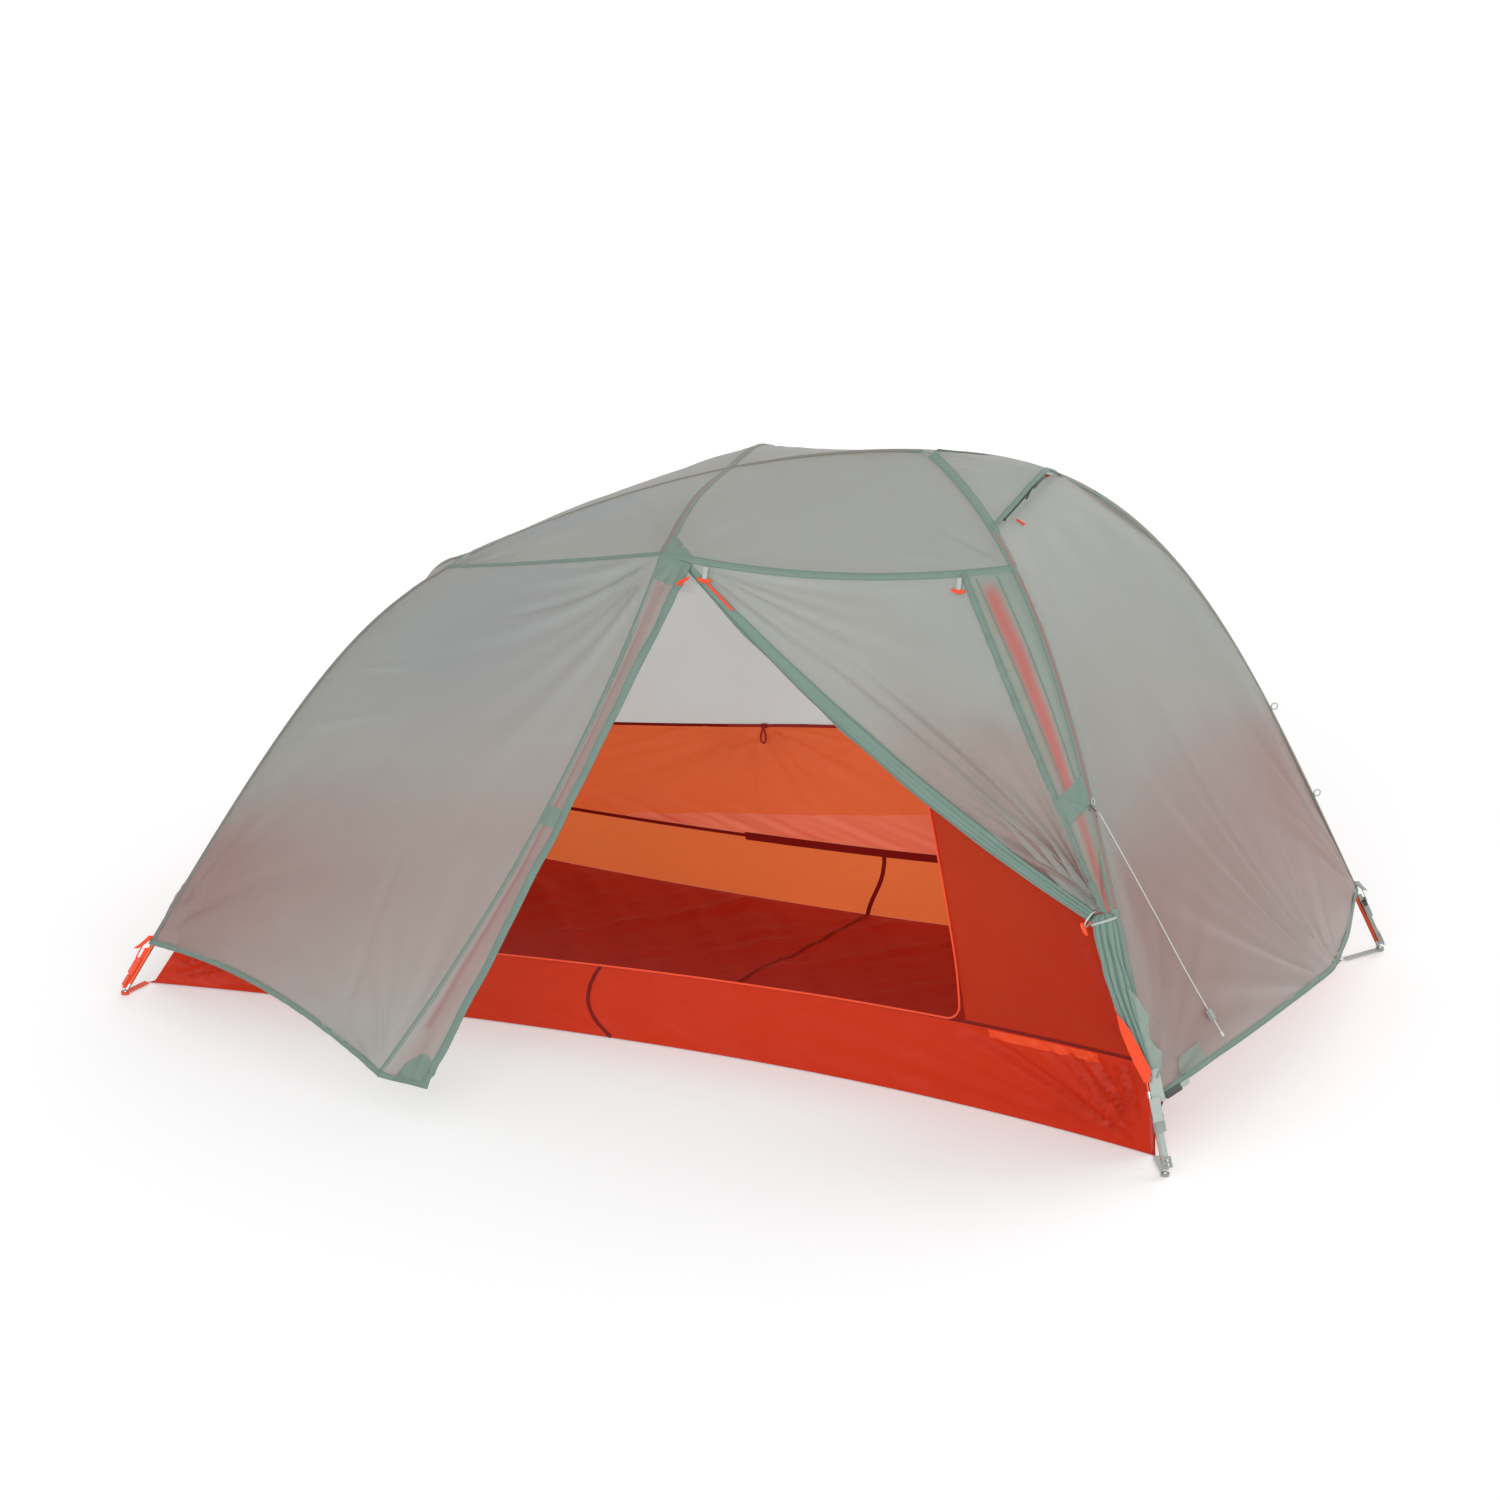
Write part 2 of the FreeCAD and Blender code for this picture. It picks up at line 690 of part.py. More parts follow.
def split_share(u):
    """How far down the side wall its coloured lower cloth begins."""
    high = inner_side(u, 0)
    low = inner_side(u, 1)
    line = size("rear_split_height") + size("rear_split_rise") * (high.x + low.x) / 2
    return (high.z - line) / (high.z - low.z)


panel("inner_rear_wall_upper", lambda u, v: rear_side(u, split_share(u) * v), columns=17)
panel("inner_rear_wall_lower",
      lambda u, v: rear_side(u, split_share(u) + (1 - split_share(u)) * v), rows=5, columns=13)


def arch(a, b, through):
    control = through * 2 - (a + b) * 0.5
    return lambda s: a * ((1 - s) ** 2) + control * (2 * s * (1 - s)) + b * (s * s)


foot_arch = arch(eave_foot, mirrored(eave_foot), foot_hub + Vector(-45, 0, -44))
head_arch = arch(eave_head, mirrored(eave_head), head_hub + Vector(90, 0, -62))
brow_arch = arch(eave_brow, mirrored(eave_brow), Vector(brow_top.x, 0, brow_top.z - 34))
foot_roof = patch(foot_arch, brow_arch, foot_eave, reflected(foot_eave))
head_roof = patch(brow_arch, head_arch, head_eave, reflected(head_eave))
panel("inner_roof_foot", foot_roof)
panel("inner_roof_head", head_roof)


def inner_end(side, top_arch, corner):
    bottom = floor_end(side)
    low = stretch(bottom, 0.02, 0.98)
    ground = mix(floor_end(side)(0.02), Vector(0, 0, 0), 0.004) + UP * (size("cloth") + 0.3)

    def down(s):
        return corner(s / 0.86) if s < 0.86 else mix(corner(1), ground, (s - 0.86) / 0.14)
    inward = Vector(-side * 6, 0, 0)
    return patch(top_arch, lambda s: low(s) + inward + UP * (size("cloth") + 0.3), down,
                 reflected(down))


panel("inner_foot_wall", inner_end(-1, foot_arch, foot_corner_line), rows=13, gap=9)
panel("inner_head_wall", inner_end(1, head_arch, head_corner_line), rows=13, gap=9)

# ---------------------------------------------------------------- clips and saddle


def box_in(place, name, x_size, y_size, z_size, x=0.0, y=0.0, z=0.0):
    """A box centred on X and Y of a placement, standing on its Z, with sizes from the sheet."""
    item = primitive("Part::Box", name, Length=x_size, Width=y_size, Height=z_size)
    doc.recompute()
    item.Placement = shifted(place, x - item.Length.Value / 2, y - item.Width.Value / 2, z)
    return item


def rod_in(place, name, radius, length):
    item = primitive("Part::Cylinder", name, Radius=radius, Height=length)
    item.Placement = place
    return item


clip_shapes = []
CLIP_PLAY = 0.15
CLIP_WALL = 2.2
CLIP_LENGTH = 10
CLIP_NECK = 13
CLIP_NECK_WIDTH = 5


def add_clip(points, run):
    """A hook round the straight middle of a pole's run, with a neck down to the inner tent."""
    middle = (points[run] + points[run + 1]) * 0.5
    along = (points[run + 1] - points[run]).normalize()
    down = along * UP.dot(along) - UP
    base = middle - along * (CLIP_LENGTH / 2)
    ring = Part.makeCylinder(size("pole_radius") + CLIP_WALL, CLIP_LENGTH, base, along)
    neck = Part.makeBox(CLIP_NECK, CLIP_NECK_WIDTH, CLIP_LENGTH)
    neck.Placement = shifted(frame_at(base, along, down), size("pole_radius"), -CLIP_NECK_WIDTH / 2)
    hole = Part.makeCylinder(size("pole_radius") + CLIP_PLAY, CLIP_LENGTH, base, along)
    clip_shapes.append(ring.fuse(neck).cut(hole))


for label in lines:
    for run in (2, 4):
        add_clip(leg_points[label], run)
for run in (1, 5):
    add_clip(ridge_points, run)
feature("pole_clips", Part.makeCompound(clip_shapes))

# The saddle keeps the brow pole crossed under the ridge pole.
ridge_run = (ridge_points[CROSSED_RUN + 1] - ridge_points[CROSSED_RUN]).normalize()
saddle_place = FreeCAD.Placement(brow_top, FreeCAD.Rotation())
saddle_block = box_in(saddle_place, "saddle_block", "sizes.saddle_side", "sizes.saddle_side",
                      "sizes.saddle_height", z=-size("pole_radius") - 3)
saddle_ridge_bore = rod_in(frame_at(crossing - ridge_run * 40, ridge_run, UP), "saddle_ridge_bore",
                           "sizes.pole_radius + sizes.sleeve_play", "80")
saddle_brow_bore = rod_in(frame_at(brow_top - Vector(0, 40, 0), Vector(0, 1, 0), UP),
                          "saddle_brow_bore", "sizes.pole_radius + sizes.sleeve_play", "80")
saddle_bores = joined("Part::MultiFuse", "saddle_bores", [saddle_ridge_bore, saddle_brow_bore])
keep(boolean("Part::Cut", "brow_saddle", saddle_block, saddle_bores), "brow_saddle")

# ---------------------------------------------------------------- corners

CORNERS = {
    "head_front": ("head_leg_pole_front", 84.0), "head_rear": ("head_leg_pole_rear", 84.0),
    "foot_front": ("foot_leg_pole_front", 38.0), "foot_rear": ("foot_leg_pole_rear", 38.0),
}
BUCKLE_OFFSET = size("pole_radius") + 3 + size("buckle_thick") / 2
sockets = []
locks = []
lock_straps = []
fly_straps = []
cups = []
tabs = []
for corner, (pole_name, socket_at) in CORNERS.items():
    points = leg_points[pole_name]
    tip = points[-1] + (points[-1] - points[-2]).normalize() * TIP_GAP
    up_leg = (points[-2] - points[-1]).normalize()
    base = frame_at(tip, up_leg, Vector(tip.x, tip.y, 0))
    axis = shifted(base, x=BUCKLE_OFFSET)

    # Female half of the side-release buckle: a flat case open at the top.
    case = box_in(axis, corner + "_case", "sizes.buckle_thick", "sizes.buckle_width",
                  "sizes.buckle_length", z=socket_at)
    room = box_in(axis, corner + "_room", "sizes.buckle_thick - 2 * sizes.buckle_wall",
                  "sizes.buckle_width - 2 * sizes.buckle_wall", "sizes.buckle_length",
                  z=socket_at + 2 * size("buckle_wall"))
    sockets.append(boolean("Part::Cut", corner + "_socket", case, room))

    # Male half: a webbing bar with two prongs and a guide that slide into the case.
    bar_at = socket_at + size("buckle_length") + size("prong_play")
    bar = box_in(axis, corner + "_bar", "sizes.buckle_thick", "sizes.buckle_width", "9", z=bar_at)
    slot = box_in(axis, corner + "_slot", "sizes.buckle_thick + 2", "sizes.webbing_width + 2", "3",
                  z=bar_at + 4)
    slotted = boolean("Part::Cut", corner + "_slotted", bar, slot)
    prong_thick = "sizes.buckle_thick - 2 * sizes.buckle_wall - 2 * sizes.prong_play"
    prong_at = bar_at - size("prong_length")
    reach = size("buckle_width") / 2 - size("buckle_wall") - size("prong_play") - 2
    prongs = [slotted]
    for number, y in enumerate((-reach, 0.0, reach), start=1):
        prongs.append(box_in(axis, "%s_prong_%d" % (corner, number), prong_thick, "4",
                             "sizes.prong_length + 0.5", y=y, z=prong_at))
    keep(joined("Part::MultiFuse", "corner_buckle_" + corner, prongs), "corner_buckle_" + corner)

    # Ladder lock at the pole's foot and the strap between it and the buckle.
    lock_at = 9.0
    lock_plate = box_in(axis, corner + "_lock_plate", "sizes.lock_thick", "sizes.lock_width",
                        "sizes.lock_length", z=lock_at)
    windows = [
        box_in(axis, "%s_window_%d" % (corner, number), "sizes.lock_thick + 2",
               "sizes.webbing_width + 2", "4", z=lock_at + size("lock_length") * share)
        for number, share in enumerate((0.18, 0.58), start=1)]
    lock_windows = joined("Part::MultiFuse", corner + "_windows", windows)
    locks.append(boolean("Part::Cut", corner + "_lock", lock_plate, lock_windows))
    strap_low = lock_at + size("lock_length") + 0.4
    strap = box_in(axis, corner + "_strap", "sizes.webbing_thick", "sizes.webbing_width",
                   str(round(max(socket_at - strap_low - 0.4, 3), 2)), z=strap_low)
    lock_straps.append(strap)
    fly_strap = box_in(shifted(axis, x=size("buckle_thick") / 2 + 1.2), corner + "_fly_strap",
                       "sizes.webbing_thick", "sizes.webbing_width", "26", z=bar_at + 8)
    fly_straps.append(fly_strap)

    # The cup that the pole's ball stands in and the webbing tab that ties it to the floor.
    ground = Vector(tip.x, tip.y, 0)
    stand = FreeCAD.Placement(ground, FreeCAD.Rotation())
    cup_rim = rod_in(stand, corner + "_cup_rim", "sizes.cup_radius", "6")
    cup_hole = rod_in(stand, corner + "_cup_hole", "sizes.tip_ball_radius + 0.4", "6")
    cups.append(boolean("Part::Cut", corner + "_cup", cup_rim, cup_hole))
    side_x = 1 if tip.x > 0 else -1
    side_y = 1 if tip.y > 0 else -1
    floor_x = FLOOR_ENDS[side_x]
    floor_corner = Vector(floor_x, side_y * floor_half_width(floor_x), 0)
    toward = ground - floor_corner
    tab_place = frame_at(floor_corner + toward.normalize() * 4 + UP * 3, toward, UP)
    tab_length = (ground - floor_corner).Length - size("cup_radius") - 4.5
    tabs.append(box_in(tab_place, corner + "_tab", "sizes.webbing_thick", "sizes.webbing_width",
                       str(round(tab_length, 2))))
doc.recompute()
for label, items in (("corner_buckle_sockets", sockets), ("corner_locks_and_cups", locks + cups),
                     ("corner_webbing", lock_straps + fly_straps + tabs)):
    keep(joined("Part::Compound", label, items), label)

# ---------------------------------------------------------------- door fittings

DOOR_LEAN = Vector(0, -0.36, -0.93)


def door_toggle(label, seam_share):
    """A bar toggle on a short tape, sewn to the seam over the door and lying on its cloth."""
    top = door_seam(seam_share) + Vector(0, -17, -3)
    place = frame_at(top, DOOR_LEAN, Vector(1, 0, 0))
    tape = box_in(place, label + "_tape", "sizes.webbing_width * 0.7", "sizes.webbing_thick",
                  "sizes.toggle_drop")
    bar_middle = top + DOOR_LEAN * (size("toggle_drop") + size("toggle_radius") - 1)
    bar_start = bar_middle - Vector(size("toggle_length") / 2, 0, 0)
    bar = rod_in(frame_at(bar_start, Vector(1, 0, 0), UP), label + "_bar", "sizes.toggle_radius",
                 "sizes.toggle_length")
    return keep(joined("Part::MultiFuse", label, [tape, bar]), label)


door_toggle("door_toggle_left", 0.14)
door_toggle("door_toggle_right", 0.86)

tie_axis = (tie_point - roll_line(0.8)).normalize()
tie_centre = tie_point + Vector(-19, -5, -11)
tie_ring = primitive("Part::Torus", "tie_ring", Radius1="sizes.tie_radius", Radius2="1.6")
tie_ring.Placement = frame_at(tie_centre, tie_axis, UP)
keep(tie_ring, "door_tie_loop")
tie_hang = tie_centre + Vector(-4, -size("tie_radius") - 9, -6)
tie_bar = rod_in(frame_at(tie_hang + Vector(0, 0, -26), UP, Vector(1, 0, 0)), "tie_bar",
                 "sizes.toggle_radius * 0.8", "22")
tie_neck = rod_in(frame_at(tie_hang + Vector(0, 0, -5), UP, Vector(1, 0, 0)), "tie_neck",
                  "1.5", "5")
keep(joined("Part::MultiFuse", "door_tie_toggle", [tie_bar, tie_neck]), "door_tie_toggle")

# Inner door, unzipped and rolled against the foot side of its doorway.
def inner_roll_line(s):
    return inner_side(door_foot, 0.16 + 0.76 * s) + Vector(-14, 30, 0)


feature("inner_front_door_roll", gathered(inner_roll_line, [10, 15, 17, 17, 15, 11]))

# ---------------------------------------------------------------- zippers


def zip_run(label, start, end):
    """A straight length of zip between two points."""
    along = end - start
    place = frame_at(start, along, Vector(0, 1, 0))
    return keep(box_in(place, label, "sizes.zip_thick", "sizes.zip_width",
                       str(round(along.Length, 1))), label)


def zip_slider(label, at, along):
    """A slider that closes round the zip with running play."""
    place = shifted(frame_at(at, along, Vector(0, 1, 0)), z=-size("slider_length") / 2)
    body = box_in(place, label + "_body", "sizes.slider_thick", "sizes.slider_width",
                  "sizes.slider_length")
    way = box_in(place, label + "_way", "sizes.zip_thick + 0.8", "sizes.zip_width + 0.8",
                 "sizes.slider_length + 2", z=-1)
    return keep(boolean("Part::Cut", label, body, way), label)


def zip_pull(label, hinge, hang):
    place = frame_at(hinge, hang, Vector(1, 0, 0))
    return keep(box_in(place, label, "sizes.pull_width", "sizes.pull_thick", "sizes.pull_length"),
                label)


def rear_seam(s):
    u = 0.40 + 0.19 * s
    return rear_side(u, split_share(u))


zip_start = rear_seam(0) + Vector(0, -9, 0)
zip_end = rear_seam(1) + Vector(0, -9, 0)
zip_along = (zip_end - zip_start).normalize()
zip_run("rear_door_zip", zip_start, zip_end)
SLIDER_SHARE = 0.22
rear_slider_at = mix(zip_start, zip_end, SLIDER_SHARE)
zip_slider("rear_door_slider", rear_slider_at, zip_along)
zip_pull("rear_door_pull", rear_slider_at + Vector(0, -size("slider_thick") / 2 - 1.2, -2), -UP)

fly_pull_hinge = roll_line(0.02) + Vector(-12, -26, 2)
zip_pull("fly_door_pull", fly_pull_hinge, -UP)


def door_edge_points():
    """Round the inner doorway: along its sill and up its head side."""
    out = Vector(0, -5, 1)
    sill = [inner_side(u, 1) + Vector(0, -4, -2) for u in (0.24, 0.38, 0.52, 0.66, 0.76, 0.795)]
    side = [inner_side(door_head, v) + out for v in (0.90, 0.70, 0.50, 0.30, 0.12)]
    return sill + side


def tube_through(label, points, radius):
    wire = rounded_wire(points)
    return feature(label, tube_along(wire, points, radius))


tube_through("doorway_piping", door_edge_points(), 2.2)

# ---------------------------------------------------------------- vent stay

stay_top = vent_hood(0.5, 1) + Vector(-16, 0, -6)
stay_foot = head_end(0.5, 0) + Vector(-4, 0, 6)
stay_along = (stay_foot - stay_top).normalize()
stay_place = frame_at(stay_top, stay_along, Vector(0, 1, 0))
keep(box_in(stay_place, "vent_stay", "sizes.strut_width", "sizes.strut_thick",
            str(round((stay_foot - stay_top).Length - 3, 1))), "vent_stay")

# ---------------------------------------------------------------- guyline and loops

def guy_loop(leg_control, share):
    """A small ring of webbing standing off a leg's seam."""
    spot = outside(leg_control, share, fly_gap + 9.5)
    side = direction(leg_control, share).cross(
        outside(leg_control, share, 1) - bezier(leg_control, share))
    return Part.makeTorus(7, 1.3, spot, side)


rear_head_leg = mirrored_line(head_leg)
loop_shapes = [guy_loop(head_leg, 0.642), guy_loop(rear_head_leg, 0.72),
               guy_loop(rear_head_leg, 0.832)]
feature("guy_out_loops", Part.makeCompound(loop_shapes))


# The guyline hangs from the front loop down the head-end cloth; its points are its route.
GUYLINE_ROUTE = [
    (946, -441, 684), (984, -419, 600), (1034, -397, 496), (1079, -389, 412), (1130, -385, 321),
    (1198, -377, 210),
]
guyline_points = [Vector(*point) for point in GUYLINE_ROUTE]
guyline_wire = rounded_wire(guyline_points)
guyline_tube = tube_along(guyline_wire, guyline_points, size("guyline_radius"))
guyline_knot = Part.makeSphere(2.4 * size("guyline_radius"), guyline_points[-1])
feature("guyline", guyline_tube.fuse(guyline_knot))
print("guyline length", round(guyline_wire.Length))
for before, corner, after in zip(guyline_points, guyline_points[1:], guyline_points[2:]):
    turn = (corner - before).getAngle(after - corner)
    reach = 0.45 * min((corner - before).Length, (after - corner).Length)
    print("guyline bend radius", round(reach / math.tan(max(turn, 1e-6) / 2)))
LOK_REACH = 36.0
lok_run = (guyline_points[-2] - guyline_points[-1]).normalize()
lok_at = guyline_points[-1] + lok_run * LOK_REACH
lok_place = frame_at(lok_at, lok_run, Vector(0, 1, 0))
lok_body = box_in(lok_place, "line_lok_body", "sizes.line_lok_width", "sizes.line_lok_thick",
                  "sizes.line_lok_length")
lok_bore = rod_in(shifted(lok_place, z=-1), "line_lok_bore", "sizes.guyline_radius + 0.5",
                  "sizes.line_lok_length + 2")
keep(boolean("Part::Cut", "line_lok", lok_body, lok_bore), "line_lok")

# ---------------------------------------------------------------- stake grommets

GROMMET_ALONG = 0.72
GROMMET_DOWN = 0.962
FLAP_HOLE_PLAY = 0.6
grommets = []


def flap_with_grommet(label, flap):
    """A storm flap with a hole near its staked corner, and the metal grommet set in it."""
    centre = flap(GROMMET_ALONG, GROMMET_DOWN)
    across = flap(0.9, GROMMET_DOWN) - flap(0.5, GROMMET_DOWN)
    down = flap(GROMMET_ALONG, 0.99) - flap(GROMMET_ALONG, 0.93)
    axis = across.cross(down).normalize()
    if axis.dot(INSIDE - centre) > 0:
        axis = -axis
    base = frame_at(centre - axis * (size("grommet_thick") / 2), axis, UP)
    hole = Part.makeCylinder(size("grommet_radius") + FLAP_HOLE_PLAY, 40, centre - axis * 20, axis)
    feature(label, cloth_solid(flap, columns=4).cut(hole))
    rim = rod_in(base, label + "_rim", "sizes.grommet_radius", "sizes.grommet_thick")
    eye = rod_in(base, label + "_eye", "sizes.grommet_bore", "sizes.grommet_thick")
    grommets.append(boolean("Part::Cut", label + "_grommet", rim, eye))


flap_with_grommet("vestibule_front_flap", lifted(storm_flap, Vector(0, -2, 0)))
flap_with_grommet("vestibule_rear_flap", mirror_surface(lifted(storm_flap, Vector(0, -9, 3))))
keep(joined("Part::Compound", "stake_grommets", grommets), "stake_grommets")

# ---------------------------------------------------------------- checks and files
doc.recompute()
os.makedirs("parts", exist_ok=True)
for item in doc.Objects:
    if "Invalid" in item.State or "Error" in item.State:
        raise RuntimeError("%s failed to recompute" % item.Name)
for item in NODES:
    if item.Shape.isNull() or not item.Shape.isValid():
        raise RuntimeError("%s has no valid shape" % item.Label)
for item in NODES:
    item.Shape.exportStep("parts/%s.step" % item.Label)
print(len(NODES), "sub-parts")
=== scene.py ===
import math

import bpy
import numpy as np
from mathutils import Matrix, Vector
from mathutils.bvhtree import BVHTree


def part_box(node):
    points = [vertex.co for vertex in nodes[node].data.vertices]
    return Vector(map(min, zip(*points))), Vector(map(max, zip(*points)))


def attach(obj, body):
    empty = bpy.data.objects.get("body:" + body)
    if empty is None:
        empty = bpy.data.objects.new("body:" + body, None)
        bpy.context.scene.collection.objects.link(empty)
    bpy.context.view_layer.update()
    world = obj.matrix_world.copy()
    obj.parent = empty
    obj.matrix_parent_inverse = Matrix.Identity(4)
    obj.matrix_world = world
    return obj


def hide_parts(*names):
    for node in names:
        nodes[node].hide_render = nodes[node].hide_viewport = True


# Two-person dome tent pitched on poles. Metres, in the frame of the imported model: +X is the
# head end, -Y the front door side, +Z up. The cloth is stretched on the same lines as the
# solids it stands for, so its shapes are worked out from the tent's own lengths.

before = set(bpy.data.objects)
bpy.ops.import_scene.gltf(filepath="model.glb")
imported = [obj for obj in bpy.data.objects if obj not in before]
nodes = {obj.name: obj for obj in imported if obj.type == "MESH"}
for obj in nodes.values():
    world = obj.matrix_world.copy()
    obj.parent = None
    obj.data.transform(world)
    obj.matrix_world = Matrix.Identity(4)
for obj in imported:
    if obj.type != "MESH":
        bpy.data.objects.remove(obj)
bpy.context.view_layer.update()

# ---------------------------------------------------------------- sizes of the tent

UP = np.array([0.0, 0.0, 1.0])
FLIP = np.array([1.0, -1.0, 1.0])
HALF_LENGTH = 1.177
HEAD_HALF_WIDTH = 0.649
FOOT_HALF_WIDTH = 0.584
FLY_GAP = 0.010
INNER_GAP = 0.024
SEAM_FOOT = 0.06
SEAM_HEAD = 0.29
INNER_SEAM_FOOT = 0.24
HEM_FOOT = 0.95
HEM_HEAD = 0.94
NEAR_HUB = 0.007
POLE_RADIUS = 0.0044
SADDLE_GAP = 0.0024


def place(x, y, z):
    return np.array([x, y, z], float)


# A point inside the tent, which tells a cloth's outer side from its inner one.
INSIDE = place(0, 0, 0.35)

head_hub = place(0.393, 0, 1.230)
foot_hub = place(-0.645, 0, 0.844)
head_tip = place(HALF_LENGTH, -HEAD_HALF_WIDTH, 0)
foot_tip = place(-HALF_LENGTH, -FOOT_HALF_WIDTH, 0)
brow_tip = place(-0.063, -0.318, 1.054)

# ---------------------------------------------------------------- lines and surfaces


def column(s):
    return np.asarray(s, float)[..., None]


def mix(a, b, s):
    return a * (1 - column(s)) + b * column(s)


def between(low, high, share):
    """The value that is the given share of the way from low to high."""
    return low + (high - low) * np.asarray(share, float)


def unit(v):
    return v / np.maximum(np.linalg.norm(v, axis=-1, keepdims=True), 1e-12)


def bezier(control, s):
    points = [np.asarray(p, float) for p in control]
    while len(points) > 1:
        points = [mix(a, b, s) for a, b in zip(points, points[1:])]
    return points[0]


def along(curve, s, step=0.001):
    low = np.maximum(np.asarray(s, float) - step, 0)
    high = np.minimum(np.asarray(s, float) + step, 1)
    return unit(curve(high) - curve(low))


def outside(control, s, gap):
    """A point beside a pole line, moved off it in the line's own upright plane."""
    run = along(lambda t: bezier(control, t), s)
    return bezier(control, s) + unit(UP - run * run[..., 2:3]) * gap


def straight(a, b, bow=(0, 0, 0)):
    """An edge of cloth from a to b, moved by bow at its middle."""
    push = np.asarray(bow, float)
    return lambda s: mix(a, b, s) + push * column(4 * s * (1 - s))


def part_line(curve, low, high):
    return lambda s: curve(between(low, high, s))


def other_side(curve):
    return lambda *share: curve(*share) * FLIP


def moved(curve, away):
    return lambda *share: curve(*share) + np.asarray(away, float)


def patch(top, bottom, left, right):
    """A cloth surface through its four edges: u runs along top and bottom, v down the sides."""
    def surface(u, v):
        across = mix(top(u), bottom(u), v)
        down = mix(left(v), right(v), u)
        corners = mix(mix(top(0), top(1), u), mix(bottom(0), bottom(1), u), v)
        return across + down - corners
    return surface


def bulged(surface, push):
    push = np.asarray(push, float)
    return lambda u, v: surface(u, v) + push * column(16 * u * (1 - u) * v * (1 - v))


def part_of(surface, u_low, u_high, v_low, v_high):
    return lambda u, v: surface(between(u_low, u_high, u), between(v_low, v_high, v))


def leg_line(hub, tip, top_reach, top_drop, tip_reach, tip_rise):
    """Control points of a leg: it leaves the hub nearly level and meets the ground steeply."""
    out = (tip - hub) * place(1, 1, 0)
    return [hub, hub + out * top_reach - UP * top_drop, tip - out * tip_reach + UP * tip_rise, tip]


head_leg = leg_line(head_hub, head_tip, 0.50, 0.058, 0.351, 0.802)
foot_leg = leg_line(foot_hub, foot_tip, 0.286, 0.086, 0.568, 0.680)
ridge_span = head_hub[0] - foot_hub[0]
ridge = [foot_hub, foot_hub + place(0.333 * ridge_span, 0, 0.214),
         head_hub + place(-0.30 * ridge_span, 0, -0.031), head_hub]
RIDGE_CROSS = 4.5 / 8
crossing = mix(bezier(ridge, 4 / 8), bezier(ridge, 5 / 8), 0.5)
brow_top = crossing - UP * (2 * POLE_RADIUS + SADDLE_GAP)


def fly_leg(control, low, high):
    return lambda s: outside(control, between(low, high, s), FLY_GAP)


def fly_ridge(low, high):
    return lambda s: bezier(ridge, between(low, high, s)) + UP * FLY_GAP


fly_brow_tip = brow_tip + place(0, -FLY_GAP, FLY_GAP * 0.8)
fly_cross = fly_ridge(RIDGE_CROSS, RIDGE_CROSS)(0)
brow_shoulder = mix(fly_cross, fly_brow_tip, 0.55) + UP * 0.042


def fly_brow(s):
    """Over the brow pole, from the ridge down to its front tip."""
    return bezier([fly_cross, mix(fly_cross, brow_shoulder, 0.9), brow_shoulder, fly_brow_tip], s)


seam_head_end = fly_leg(head_leg, SEAM_HEAD, 1)(0)
seam_foot_end = fly_leg(foot_leg, SEAM_FOOT, 1)(0)
door_seam = straight(fly_brow_tip, seam_head_end, (0, -0.030, -0.022))
foot_seam = straight(seam_foot_end, fly_brow_tip, (0, -0.022, 0.004))
roof_front = patch(fly_ridge(RIDGE_CROSS, 1), door_seam, fly_brow, fly_leg(head_leg, 0, SEAM_HEAD))
foot_roof_front = patch(fly_ridge(0, RIDGE_CROSS), foot_seam, fly_leg(foot_leg, 0, SEAM_FOOT),
                        fly_brow)


def end_panel(leg, low, hem, pull, sag):
    """Cloth between two legs that sags a little and is drawn out at its hem."""
    def surface(u, v):
        edge = outside(leg, low + (hem - low) * v, FLY_GAP)
        middle = 4 * u * (1 - u)
        peak = 1 - np.abs(2 * u - 1) ** 1.25
        return (mix(edge, edge * FLIP, u) + np.asarray(sag) * column(middle * np.sin(math.pi * v))
                + np.asarray(pull) * column(peak * v ** 3.5))
    return surface


VENT_SHARE = 0.215
head_end = end_panel(head_leg, VENT_SHARE, HEM_HEAD, (0.165, 0, 0.078), (-0.022, 0, 0))
foot_end = end_panel(foot_leg, NEAR_HUB, HEM_FOOT, (-0.045, 0, 0.040), (0.014, 0, 0))
vent_tip = place(0.655, 0, 1.229)
hood_base = outside(head_leg, VENT_SHARE - 0.004, FLY_GAP + 0.001)


def vent_hood(u, v):
    """The brim over the head-end vent, held out at its middle."""
    edge = outside(head_leg, NEAR_HUB + (VENT_SHARE - 0.006 - NEAR_HUB) * v, FLY_GAP + 0.001)
    ridge_share = 1 - np.abs(2 * u - 1)
    lift = vent_tip - mix(hood_base, hood_base * FLIP, 0.5)
    rise = v ** 1.3 * (1 - (1 - ridge_share) ** 2) * ridge_share ** 0.35
    return mix(edge, edge * FLIP, u) + lift * column(rise)


stake_corner = place(-0.455, -0.915, 0.060)
flap_corner = stake_corner + place(0.118, -0.020, 0)
hem_foot = fly_leg(foot_leg, HEM_FOOT, 1)(0)
hem_head = fly_leg(head_leg, HEM_HEAD, 1)(0)
zip_line = straight(fly_brow_tip, stake_corner, (0.052, -0.010, 0))
flap_edge = straight(mix(fly_brow_tip, seam_head_end, 0.09) + place(0, -0.016, -0.016),
                     flap_corner, (0.008, -0.014, 0))
front_hem = straight(hem_foot, stake_corner, (0, 0, 0.045))
vestibule_foot = bulged(patch(foot_seam, front_hem, fly_leg(foot_leg, SEAM_FOOT, HEM_FOOT),
                              zip_line), (-0.010, -0.030, 0.012))
storm_flap = patch(straight(fly_brow_tip, flap_edge(0)), straight(stake_corner, flap_corner),
                   zip_line, flap_edge)
